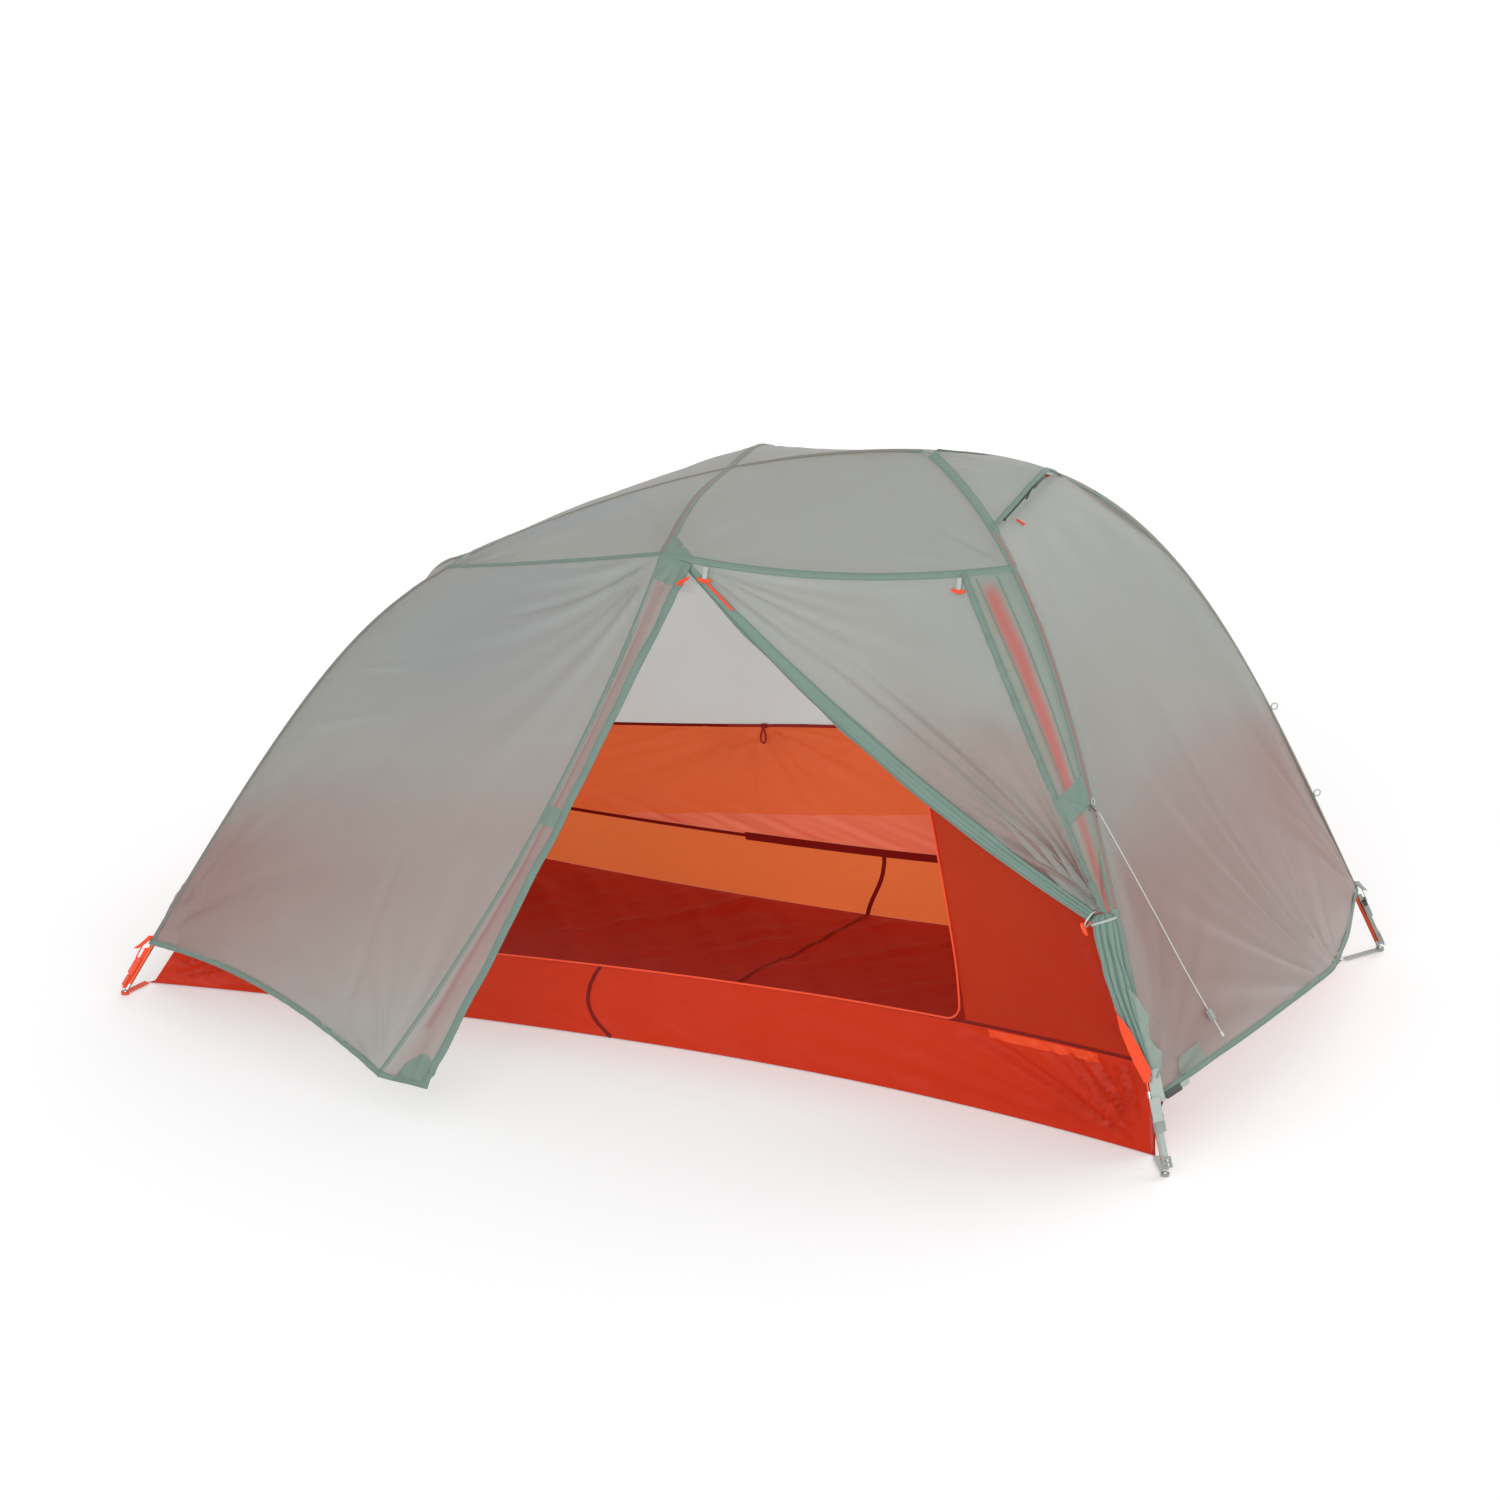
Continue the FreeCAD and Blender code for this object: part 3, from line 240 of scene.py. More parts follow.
front_flap = moved(storm_flap, (0, -0.002, 0))
rear_flap = other_side(moved(storm_flap, (0, -0.009, 0.003)))

TIE_SHARE = 0.765
STRIP_SHARE = 0.86
DOOR_SHARE = 0.07
tie_point = outside(head_leg, TIE_SHARE, FLY_GAP) + place(-0.026, -0.022, 0)
tie_inner = tie_point + place(0.006, 0, 0.006)
tie_outer = tie_point + place(-0.014, -0.004, 0.008)
strip_edge = straight(door_seam(STRIP_SHARE), tie_inner, (0.006, -0.014, 0))
front_strip = patch(part_line(door_seam, STRIP_SHARE, 1),
                    straight(tie_inner, outside(head_leg, TIE_SHARE, FLY_GAP)),
                    strip_edge, fly_leg(head_leg, SEAM_HEAD, TIE_SHARE))
roll_line = straight(door_seam(DOOR_SHARE) + place(0, 0, -0.004), tie_outer,
                     (-0.016, -0.006, -0.022))
tied_door = patch(part_line(door_seam, DOOR_SHARE, STRIP_SHARE), straight(tie_outer, tie_inner),
                  roll_line, strip_edge)
rear_door = other_side(bulged(
    patch(door_seam, straight(stake_corner, hem_head, (0, 0, 0.030)), zip_line,
          fly_leg(head_leg, SEAM_HEAD, HEM_HEAD)), (0.010, -0.030, 0.012)))

# Floor and inner tent.
FLOOR_ENDS = {-1: -1.157, 1: 1.125}
FLOOR_WAIST = 0.415
FLOOR_MIDDLE = 1.010
FLOOR_RISE = 0.001 + 0.0003
SHEET_RISE = 0.0012
WALL_RISE = 0.0015
WALL_END = 0.86
TUB_FOOT = 0.125
TUB_HEAD = 0.190
TUB_LEAN = 0.16
DOOR_FOOT = 0.22
DOOR_HEAD = 0.80
DOOR_TOP = 0.07
SPLIT_LEVEL = 0.405
SPLIT_RISE = 0.15


def floor_half_width(x):
    x = np.asarray(x, float)
    flare = np.where(x > 0, 0.150, 0.096)
    return FLOOR_WAIST + flare * (x / np.where(x > 0, FLOOR_ENDS[1], FLOOR_ENDS[-1])) ** 2


def stack(x, y, z):
    return np.stack(np.broadcast_arrays(x, y, z), axis=-1).astype(float)


def floor_side(s):
    x = between(FLOOR_ENDS[-1], FLOOR_ENDS[1], s)
    return stack(x, -floor_half_width(x), 0 * x)


def floor_end(side):
    corner = float(floor_half_width(FLOOR_ENDS[side]))
    middle = side * FLOOR_MIDDLE

    def line(s):
        y = corner * (2 * s - 1)
        return stack(middle + (FLOOR_ENDS[side] - middle) * (y / corner) ** 2, y, 0 * y)
    return line


def tub_height(x):
    share = (x - FLOOR_ENDS[-1]) / (FLOOR_ENDS[1] - FLOOR_ENDS[-1])
    return TUB_FOOT * (1 - share) + TUB_HEAD * share


def tub_top(s):
    low = floor_side(0.036 + 0.949 * s)
    height = tub_height(low[..., 0])
    return low + stack(0 * height, TUB_LEAN * height, height)


def tub_bottom(s):
    return floor_side(0.005 + 0.99 * s) + UP * FLOOR_RISE


tub_side = patch(tub_top, tub_bottom, straight(tub_top(0), tub_bottom(0)),
                 straight(tub_top(1), tub_bottom(1)))
eave_foot = outside(foot_leg, INNER_SEAM_FOOT, -INNER_GAP)
eave_head = outside(head_leg, SEAM_HEAD, -INNER_GAP)
eave_brow = brow_tip + place(0, 0.030, -0.026)
foot_eave = straight(eave_foot, eave_brow, (0, 0.006, 0))
head_eave = straight(eave_brow, eave_head, (0, 0.006, 0))
BROW_SHARE = (eave_brow[0] - eave_foot[0]) / (eave_head[0] - eave_foot[0])


def eave(s):
    s = np.asarray(s, float)
    before = foot_eave(np.minimum(s / BROW_SHARE, 1))
    after = head_eave(np.maximum((s - BROW_SHARE) / (1 - BROW_SHARE), 0))
    return np.where(column(s) < BROW_SHARE, before, after)


def corner_line(leg, seam, low_point):
    """From the eave down the leg to the top of the bathtub wall."""
    upper = outside(leg, seam, -INNER_GAP)
    middle = outside(leg, 0.62, -INNER_GAP)
    return lambda s: bezier([upper, mix(upper, middle, 0.9) + UP * 0.020,
                             mix(middle, low_point, 0.4) + UP * 0.040, low_point], s)


foot_corner_line = corner_line(foot_leg, INNER_SEAM_FOOT, tub_top(0) + UP * WALL_RISE)
head_corner_line = corner_line(head_leg, SEAM_HEAD, tub_top(1) + UP * WALL_RISE)
inner_side = patch(eave, moved(tub_top, UP * WALL_RISE), foot_corner_line, head_corner_line)
rear_side = other_side(inner_side)


def split_share(u):
    """How far down the side wall its coloured lower cloth begins."""
    high = inner_side(u, 0 * u)
    low = inner_side(u, 0 * u + 1)
    line = SPLIT_LEVEL + SPLIT_RISE * (high[..., 0] + low[..., 0]) / 2
    return (high[..., 2] - line) / (high[..., 2] - low[..., 2])


def upper_of(wall):
    return lambda u, v: wall(u, split_share(u) * v)


def lower_of(wall):
    return lambda u, v: wall(u, split_share(u) + (1 - split_share(u)) * v)


def arch(a, b, through):
    control = through * 2 - (a + b) * 0.5
    return lambda s: bezier([a, control, b], s)


foot_arch = arch(eave_foot, eave_foot * FLIP, foot_hub + place(-0.045, 0, -0.044))
head_arch = arch(eave_head, eave_head * FLIP, head_hub + place(0.090, 0, -0.062))
brow_arch = arch(eave_brow, eave_brow * FLIP, place(brow_top[0], 0, brow_top[2] - 0.034))
foot_roof = patch(foot_arch, brow_arch, foot_eave, other_side(foot_eave))
head_roof = patch(brow_arch, head_arch, head_eave, other_side(head_eave))


def inner_end(side, top_arch, corner):
    """An end wall: down the corner line to WALL_END of its edge, then beside the bathtub."""
    low = part_line(floor_end(side), 0.02, 0.98)
    ground = mix(floor_end(side)(0.02), place(0, 0, 0), 0.004) + UP * FLOOR_RISE

    def down(s):
        s = np.asarray(s, float)
        lower = mix(corner(1), ground, np.maximum((s - WALL_END) / (1 - WALL_END), 0))
        return np.where(column(s) < WALL_END, corner(np.minimum(s / WALL_END, 1)), lower)
    foot = moved(low, (-side * 0.006, 0, FLOOR_RISE))
    return patch(top_arch, foot, down, other_side(down))


foot_wall = inner_end(-1, foot_arch, foot_corner_line)
head_wall = inner_end(1, head_arch, head_corner_line)


def level_share(wall, u):
    """How far down an end wall its coloured lower cloth begins, for each u."""
    v = np.linspace(0, 1, 41)
    spread_u, spread_v = np.meshgrid(np.asarray(u, float).ravel(), v, indexing="ij")
    points = wall(spread_u, spread_v)
    above = points[..., 2] - (SPLIT_LEVEL + SPLIT_RISE * points[..., 0])
    first = np.argmax(above < 0, axis=1)
    rows = np.arange(len(above))
    high = above[rows, first - 1]
    share = v[first - 1] + (v[1] - v[0]) * high / (high - above[rows, first])
    return share.reshape(np.shape(u))


def upper_end(wall):
    return lambda u, v: wall(u, level_share(wall, u) * v)


def lower_end(wall):
    return lambda u, v: wall(u, level_share(wall, u) + (1 - level_share(wall, u)) * v)


# ---------------------------------------------------------------- folds in the cloth


def ripple(x, seed):
    """A smooth uneven wave, about -1 to 1, the same each time for the same seed."""
    phases = np.random.default_rng(seed).uniform(0, 2 * math.pi, 3)
    return sum(np.sin(x * pace + phase) for pace, phase in zip((1.0, 1.63, 2.71), phases)) / 2.2


def fan(across, down, reach, depth, spokes, seed):
    """Tension folds that run out from one place on the cloth and fade."""
    def height_at(x, y, width, height):
        dx = x - across * width
        dy = y - down * height
        far = np.hypot(dx, dy)
        fade = np.exp(-(far / reach) ** 2) * np.minimum(far / (0.2 * reach), 1)
        return depth * fade * ripple(np.arctan2(dy, dx) * spokes, seed)
    return height_at


def pucker(side, reach, depth, pitch, seed, slant=0.0):
    """Short folds that stand square to one edge, or slanted, and fade away from it."""
    def height_at(x, y, width, height):
        away = {"left": x, "right": width - x, "top": y, "bottom": height - y}[side]
        beside = (y if side in ("left", "right") else x) + slant * away
        return depth * np.exp(-away / reach) * ripple(beside * 2 * math.pi / pitch, seed)
    return height_at


def billow(depth, pitch, seed):
    """Soft swells all over the cloth."""
    def height_at(x, y, width, height):
        turn = 2 * math.pi / pitch
        return depth * ripple(x * turn, seed) * ripple(y * turn * 0.7, seed + 1)
    return height_at


def crease(start, end, breadth, depth):
    """One straight fold from start to end, given as shares across and down."""
    def height_at(x, y, width, height):
        ax, ay = start[0] * width, start[1] * height
        bx, by = end[0] * width - ax, end[1] * height - ay
        long = math.hypot(bx, by)
        share = ((x - ax) * bx + (y - ay) * by) / long ** 2
        off = ((x - ax) * by - (y - ay) * bx) / long
        ends = 1 / (1 + np.exp(-18 * share)) / (1 + np.exp(18 * (share - 1)))
        return depth * np.exp(-(off / breadth) ** 2) * ends
    return height_at


EDGE_FADE = 0.022


def length_of(points):
    return float(np.linalg.norm(np.diff(points, axis=0), axis=1).sum())


class Panel:
    """A sheet of cloth on a surface, with its folds and the edges at which it hangs free."""

    def __init__(self, surface, folds=(), free=()):
        self.surface = surface
        self.folds = folds
        self.free = free
        line = np.linspace(0, 1, 25)
        self.width = max(length_of(surface(line, 0 * line + v)) for v in (0, 0.5, 1))
        self.height = max(length_of(surface(0 * line + u, line)) for u in (0, 0.5, 1))
        self.turn = 1.0
        middle = np.array(0.5)
        away = surface(middle, middle) - INSIDE
        self.turn = float(np.sign(np.sum(self.normal(middle, middle) * away))) or 1.0

    def normal(self, u, v, step=0.004):
        surface = self.surface
        across = surface(np.minimum(u + step, 1), v) - surface(np.maximum(u - step, 0), v)
        down = surface(u, np.minimum(v + step, 1)) - surface(u, np.maximum(v - step, 0))
        return unit(np.cross(across, down)) * self.turn

    def __call__(self, u, v):
        u = np.asarray(u, float)
        v = np.asarray(v, float)
        x = u * self.width + 0 * v
        y = v * self.height + 0 * u
        heights = 0 * x
        for fold in self.folds:
            heights = heights + fold(x, y, self.width, self.height)
        distances = {"left": x, "right": self.width - x, "top": y, "bottom": self.height - y}
        for side, distance in distances.items():
            if side not in self.free:
                heights = heights * (1 - np.exp(-(distance / EDGE_FADE) ** 2))
        return self.surface(u, v) + self.normal(u, v) * column(heights)


# ---------------------------------------------------------------- materials


class Graph:
    """The node tree of a material or world, with short calls to add and join nodes."""

    def __init__(self, owner):
        self.owner = owner
        owner.use_nodes = True
        self.tree = owner.node_tree
        self.tree.nodes.clear()

    def add(self, kind, settings=None, **sockets):
        node = self.tree.nodes.new(kind)
        for key, value in (settings or {}).items():
            setattr(node, key, value)
        for key, value in sockets.items():
            self.feed(node, key.replace("_", " "), value)
        return node

    def feed(self, node, key, value):
        socket = node.inputs[int(key)] if key.isdigit() else node.inputs[key]
        if isinstance(value, bpy.types.NodeSocket):
            self.tree.links.new(value, socket)
        else:
            socket.default_value = value

    def math(self, operation, a, b=0.0):
        node = self.add("ShaderNodeMath", {"operation": operation})
        self.feed(node, "0", a)
        self.feed(node, "1", b)
        return node.outputs[0]

    def blend(self, share, a, b):
        node = self.add("ShaderNodeMix", {"data_type": "RGBA"})
        self.feed(node, "0", share)
        self.feed(node, "6", a)
        self.feed(node, "7", b)
        return node.outputs[2]

    def mix(self, share, a, b):
        """One shader fading into another."""
        node = self.add("ShaderNodeMixShader")
        for key, value in zip("012", (share, a, b)):
            self.feed(node, key, value)
        return node.outputs[0]

    def attribute(self, name):
        return self.add("ShaderNodeAttribute", {"attribute_name": name}).outputs["Fac"]

    def object_point(self):
        return self.add("ShaderNodeTexCoord").outputs["Object"]

    def noise(self, coordinates, scale, detail=2.0):
        return self.add("ShaderNodeTexNoise", Vector=coordinates, Scale=scale,
                        Detail=detail).outputs["Fac"]

    def uneven(self, coordinates, face, wear, scale=30.0):
        """The face colour, a little darker here and lighter there."""
        return self.blend(self.noise(coordinates, scale, 3.0), shade(face, 1 - wear),
                          shade(face, 1 + wear))

    def cloth_uv(self):
        return self.add("ShaderNodeUVMap", {"uv_map": "cloth"}).outputs["UV"]

    def axes(self, coordinates):
        return self.add("ShaderNodeSeparateXYZ", Vector=coordinates).outputs

    def bump(self, height, strength=0.6):
        return self.add("ShaderNodeBump", Strength=strength, Distance=1.0,
                        Height=height).outputs["Normal"]

    def finish(self, shader, kind="ShaderNodeOutputMaterial"):
        self.add(kind, Surface=shader)
        return self.owner


def material_graph(name):
    return Graph(bpy.data.materials.new(name))


def shade(face, share):
    """A colour made darker or lighter."""
    return (*[min(c * share, 1) for c in face[:3]], 1.0)


def rgb(red, green, blue):
    """A colour written as it looks on a screen, 0 to 255, as the shader takes it."""
    share = np.array([red, green, blue]) / 255
    linear = np.where(share <= 0.04045, share / 12.92, ((share + 0.055) / 1.055) ** 2.4)
    return (*linear.tolist(), 1.0)


# The colour of painted cool sky light, shown through the fly where its glow is below zero.
SKY_BLUE = rgb(150, 172, 184)
RIPSTOP = 0.0052
RIPSTOP_LINE = 0.14
RIPSTOP_DEPTH = 0.00004
THREAD = 0.0007
THREAD_DEPTH = 0.00002


def weave(graph, where, crinkle):
    """Fine threads, a coarser ripstop grid of doubled ones and soft crinkles."""
    axes = graph.axes(where)
    lines = []
    threads = []
    for side in ("X", "Y"):
        run = graph.math("MULTIPLY", axes[side], 1 / RIPSTOP)
        lines.append(graph.math("LESS_THAN", graph.math("FRACT", run), RIPSTOP_LINE))
        fine = graph.math("MULTIPLY", axes[side], 2 * math.pi / THREAD)
        threads.append(graph.math("SINE", fine))
    grid = graph.math("MAXIMUM", lines[0], lines[1])
    crossed = graph.math("MULTIPLY", threads[0], threads[1])
    height = graph.math("ADD", graph.math("MULTIPLY", grid, RIPSTOP_DEPTH),
                        graph.math("MULTIPLY", crossed, THREAD_DEPTH))
    soft = graph.math("MULTIPLY", graph.noise(where, 42.0, 4.0), crinkle)
    return grid, graph.math("ADD", height, soft)


def thin_cloth(graph, colour, passing, normal, share_through, rough, clear, in_shadow, tint):
    """Joins a cloth's face, the light that passes through it and its open gaps."""
    body = graph.add("ShaderNodeBsdfPrincipled", Base_Color=colour, Roughness=rough,
                     Normal=normal, Specular_IOR_Level=0.25, Sheen_Weight=0.04)
    lamp = graph.add("ShaderNodeBsdfTranslucent", Color=passing, Normal=normal)
    thin = graph.mix(share_through, body.outputs[0], lamp.outputs[0])
    rays = graph.add("ShaderNodeLightPath").outputs
    unseen = graph.math("MAXIMUM", rays["Is Shadow Ray"], rays["Is Diffuse Ray"])
    open_share = graph.math("ADD", graph.math("MULTIPLY", unseen, in_shadow - clear), clear)
    gap = graph.add("ShaderNodeBsdfTransparent", Color=tint)
    return graph.finish(graph.mix(open_share, thin, gap.outputs[0]))


def cloth_material(name, face, through, share_through, rough=0.5, clear=0.0, in_shadow=0.3,
                   glow=None, crinkle=0.0008, mottle=0.04):
    """Thin ripstop nylon; its glow attribute says where painted light of something coloured shows
    through.
    """
    graph = material_graph(name)
    where = graph.cloth_uv()
    grid, height = weave(graph, where, crinkle)
    colour = graph.uneven(where, face, mottle, 3.0)
    colour = graph.blend(graph.math("MULTIPLY", grid, 0.35), colour, shade(face, 0.93))
    passing = graph.uneven(where, through, mottle, 5.0)
    # Painted light: warm light from orange parts behind the cloth where glow is above zero, cool
    # sky light where it is below.
    if glow is not None:
        lit = graph.attribute("glow")
        warm = graph.math("MAXIMUM", lit, 0.0)
        cool = graph.math("MAXIMUM", graph.math("MULTIPLY", lit, -1.0), 0.0)
        colour = graph.blend(cool, graph.blend(warm, colour, glow), SKY_BLUE)
        passing = graph.blend(cool, graph.blend(warm, passing, glow), SKY_BLUE)
    return thin_cloth(graph, colour, passing, graph.bump(height), share_through, rough, clear,
                      in_shadow, through)


STITCH_INSET = 0.0022
STITCH_WIDTH = 0.0005
STITCH_PITCH = 0.0036
STITCH_SHARE = 0.72
STITCH_DEPTH = 0.00025
POLE_GLOW_BAND = 0.78


def tape_material(name, face, through, share_through, pole_glow=None, in_shadow=0.1):
    """Folded tape with a row of stitches near each edge; its UVs run in from the edge and along."""
    graph = material_graph(name)
    where = graph.cloth_uv()
    axes = graph.axes(where)
    height = weave(graph, where, 0.0010)[1]
    colour = graph.uneven(where, face, 0.06, 40.0)
    passing = graph.uneven(where, through, 0.05, 40.0)
    off = graph.math("ABSOLUTE", graph.math("SUBTRACT", axes["X"], STITCH_INSET))
    line = graph.math("LESS_THAN", off, STITCH_WIDTH)
    run = graph.math("FRACT", graph.math("MULTIPLY", axes["Y"], 1 / STITCH_PITCH))
    stitch = graph.math("MULTIPLY", line, graph.math("LESS_THAN", run, STITCH_SHARE))
    colour = graph.blend(stitch, colour, shade(face, 0.62))
    height = graph.math("SUBTRACT", height, graph.math("MULTIPLY", line, STITCH_DEPTH))
    # Painted light: the middle of the tape takes the colour of the pole showing through it.
    if pole_glow is not None:
        band = graph.math("MULTIPLY", graph.attribute("glow"), POLE_GLOW_BAND)
        colour = graph.blend(band, colour, pole_glow)
        passing = graph.blend(band, passing, pole_glow)
    return thin_cloth(graph, colour, passing, graph.bump(height), share_through, 0.55, 0.0,
                      in_shadow, through)


def worn(graph, where, faces, wear, *scale):
    """An uneven colour, with one face at the head end and maybe another at the foot end."""
    colours = [graph.uneven(where, face, wear, *scale) for face in faces if face is not None]
    if len(colours) == 1:
        return colours[0]
    return graph.blend(graph.math("LESS_THAN", graph.axes(where)["X"], 0.0), *colours)


GRAIN = 400.0
GRAIN_DEPTH = 0.0001
WEAR = 0.08


def solid_material(name, face, rough, metal=0.0, foot_face=None):
    """Moulded plastic or metal with a fine grain; foot_face is its colour at the foot end."""
    graph = material_graph(name)
    where = graph.object_point()
    fine = graph.noise(where, GRAIN, 4.0)
    shine = graph.math("ADD", graph.math("MULTIPLY", fine, 0.12), rough - 0.06)
    normal = graph.bump(graph.math("MULTIPLY", fine, GRAIN_DEPTH), 0.5)
    body = graph.add("ShaderNodeBsdfPrincipled", Roughness=shine, Normal=normal, Metallic=metal,
                     Base_Color=worn(graph, where, (face, foot_face), WEAR))
    return graph.finish(body.outputs[0])


def webbing_material(name, face, foot_face=None, pitch=0.0016):
    """Ribbed woven tape: short raised bars across it, in rows."""
    graph = material_graph(name)
    where = graph.object_point()
    axes = graph.axes(where)
    bars = [graph.math("SINE", graph.math("MULTIPLY", axes[side], 2 * math.pi / pitch))
            for side in ("X", "Y", "Z")]
    ribs = graph.math("MULTIPLY", graph.math("MULTIPLY", bars[0], bars[1]), bars[2])
    raised = graph.math("MULTIPLY", graph.math("ADD", ribs, graph.noise(where, 900.0)), 0.00012)
    body = graph.add("ShaderNodeBsdfPrincipled", Roughness=0.82, Sheen_Weight=0.15,
                     Normal=graph.bump(raised, 0.7),
                     Base_Color=worn(graph, where, (face, foot_face), WEAR, 60.0))
    return graph.finish(body.outputs[0])


# FLY_GLOW and the glow colours of the fly cloths below are painted light: the reddish light of the
# orange inner tent and poles showing through the fly.
FLY_GREY = rgb(160, 168, 163)
FLY_GREEN = rgb(132, 154, 144)
FLY_GLOW = rgb(168, 102, 98)
PALE_LIGHT = rgb(236, 240, 236)
ORANGE_FACE = rgb(181, 45, 9)
ORANGE_LIGHT = rgb(248, 112, 54)
RED_TAPE = rgb(128, 16, 8)
BRIGHT_ORANGE = rgb(250, 84, 38)
WEBBING_GREY = rgb(176, 184, 178)

fly_cloth = cloth_material("fly_nylon", FLY_GREY, PALE_LIGHT, 0.36, rough=0.42, clear=0.015,
                           in_shadow=0.72, glow=FLY_GLOW)
fly_double = cloth_material("fly_double_nylon", FLY_GREEN, rgb(160, 186, 174), 0.26, rough=0.45,
                            in_shadow=0.35, glow=rgb(214, 112, 104))
fly_tape = tape_material("fly_seam_tape", FLY_GREEN, rgb(150, 176, 164), 0.22)
# The tape over the poles: its middle is painted with the colour of the pole showing through it.
pole_tape = tape_material("fly_pole_seam", FLY_GREEN, rgb(150, 176, 164), 0.22,
                          pole_glow=rgb(194, 108, 104))
dark_tape = tape_material("fly_dark_tape", rgb(96, 112, 106), rgb(110, 126, 120), 0.15)
fly_strip = cloth_material("fly_strip_nylon", rgb(148, 163, 153), rgb(196, 212, 202), 0.30,
                           in_shadow=0.5, glow=rgb(206, 104, 98))
# A darker, greener copy of the fly cloth for drawn-together cloth: painted shade between its folds.
fly_gathered_shaded = cloth_material("fly_gathered_nylon", rgb(130, 155, 144), rgb(150, 176, 164), 0.14,
                              rough=0.5, in_shadow=0.12, crinkle=0.0012, mottle=0.07)
inner_near = cloth_material("inner_orange_nylon", ORANGE_FACE, rgb(244, 92, 32), 0.32, rough=0.5,
                            in_shadow=0.40)
# A lighter copy of the inner orange cloth for the far wall: painted light of the lamps shining
# through it from behind.
inner_far_lit = cloth_material("inner_orange_nylon_far", rgb(240, 114, 76), ORANGE_LIGHT, 0.48,
                           rough=0.55, in_shadow=0.6)
inner_pale = cloth_material("inner_pale_nylon", rgb(214, 217, 217), rgb(240, 243, 243), 0.45,
                            rough=0.6, in_shadow=0.75)
floor_red = cloth_material("floor_nylon", rgb(176, 22, 4), rgb(226, 60, 20), 0.12, rough=0.5,
                           in_shadow=0.0)
tub_near = cloth_material("tub_nylon", rgb(210, 50, 14), rgb(244, 96, 44), 0.26, rough=0.42,
                          in_shadow=0.2)
# A lighter copy of the bathtub cloth for its far wall: painted light of the lamps shining through
# it from behind.
tub_far_lit = cloth_material("tub_nylon_far", rgb(244, 100, 52), rgb(255, 140, 80), 0.5, rough=0.45,
                         in_shadow=0.65)
red_tape = tape_material("inner_seam_tape", RED_TAPE, RED_TAPE, 0.1, in_shadow=0.0)
bright_orange = cloth_material("tub_bright_tape", BRIGHT_ORANGE, rgb(255, 110, 60), 0.2)
pole_orange = solid_material("pole_anodised", rgb(214, 84, 46), 0.3, metal=0.65)
grey_plastic = solid_material("grey_plastic", rgb(150, 157, 151), 0.45)
dark_plastic = solid_material("dark_plastic", rgb(70, 75, 74), 0.5)
orange_plastic = solid_material("orange_plastic", rgb(250, 78, 30), 0.4)
lock_plastic = solid_material("lock_plastic", rgb(150, 157, 151), 0.45,
                              foot_face=rgb(236, 78, 34))
satin_metal = solid_material("satin_metal", rgb(196, 198, 196), 0.3, metal=1.0)
red_metal = solid_material("painted_slider", rgb(140, 20, 10), 0.35, metal=0.2)
pale_cord = webbing_material("pale_cord", rgb(206, 214, 206), pitch=0.0012)
grey_webbing = webbing_material("grey_webbing", WEBBING_GREY)
corner_webbing = webbing_material("corner_webbing", WEBBING_GREY, foot_face=rgb(236, 76, 34))
orange_webbing = webbing_material("orange_webbing", rgb(250, 76, 34))
red_webbing = webbing_material("red_webbing", rgb(150, 18, 10))

# ---------------------------------------------------------------- mesh builders

CLOTH_PITCH = 0.010
RUN_STEP = 0.01
LIFT = 0.0011
STRIP_CROWN = 0.0012
# Across and out of the cloth at the head-front corner, where most fittings hang.
ACROSS = unit(place(0.93, 0.37, 0))
OUTWARD = unit(place(0.35, -0.88, 0.30))


def add_object(name, data):
    item = bpy.data.objects.new(name, data)
    bpy.context.scene.collection.objects.link(item)
    return item


def grid_quads(columns, rows):
    width = rows + 1
    return [(i * width + j, (i + 1) * width + j, (i + 1) * width + j + 1, i * width + j + 1)
            for i in range(columns) for j in range(rows)]


def laid_flat(points):
    """Cloth UVs of a grid of points: each point on the plane that fits them best, in metres."""
    flat = points.reshape(-1, 3)
    offset = flat - flat.mean(0)
    axes = np.linalg.eigh(offset.T @ offset)[1]
    return np.stack([offset @ axes[:, 2], offset @ axes[:, 1]], -1)


def mesh_piece(name, points, material, body="root", uv=None, glow=None):
    """A smooth mesh from rows of points, riding on a body."""
    mesh = bpy.data.meshes.new(name)
    columns, rows = points.shape[0] - 1, points.shape[1] - 1
    mesh.from_pydata(points.reshape(-1, 3).tolist(), [], grid_quads(columns, rows))
    mesh.polygons.foreach_set("use_smooth", [True] * len(mesh.polygons))
    plane = laid_flat(points) if uv is None else uv.reshape(-1, 2)
    layer = mesh.uv_layers.new(name="cloth")
    corner = np.zeros(len(mesh.loops), int)
    mesh.loops.foreach_get("vertex_index", corner)
    layer.data.foreach_set("uv", plane[corner].astype(np.float32).ravel())
    shown = mesh.attributes.new("glow", "FLOAT", "POINT")
    lit = np.zeros(len(mesh.vertices)) if glow is None else np.asarray(glow).ravel()
    shown.data.foreach_set("value", lit.astype(np.float32))
    mesh.materials.append(material)
    piece = add_object(name, mesh)
    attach(piece, body)
    return piece


def grid(columns, rows):
    return np.meshgrid(np.linspace(0, 1, columns + 1), np.linspace(0, 1, rows + 1), indexing="ij")


def cloth_piece(name, panel, material, stands_for, pitch=CLOTH_PITCH, glow=None):
    """One panel of cloth; glow(u, v) says where painted light of something coloured behind it shows
    through it.
    """
    columns = max(int(panel.width / pitch), 4)
    rows = max(int(panel.height / pitch), 4)
    u, v = grid(columns, rows)
    points = panel(u, v)
    lit = None if glow is None else np.clip(glow(u, v), -1, 1)
    piece = mesh_piece(name, points, material, glow=lit)
    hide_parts(*stands_for)
    return piece


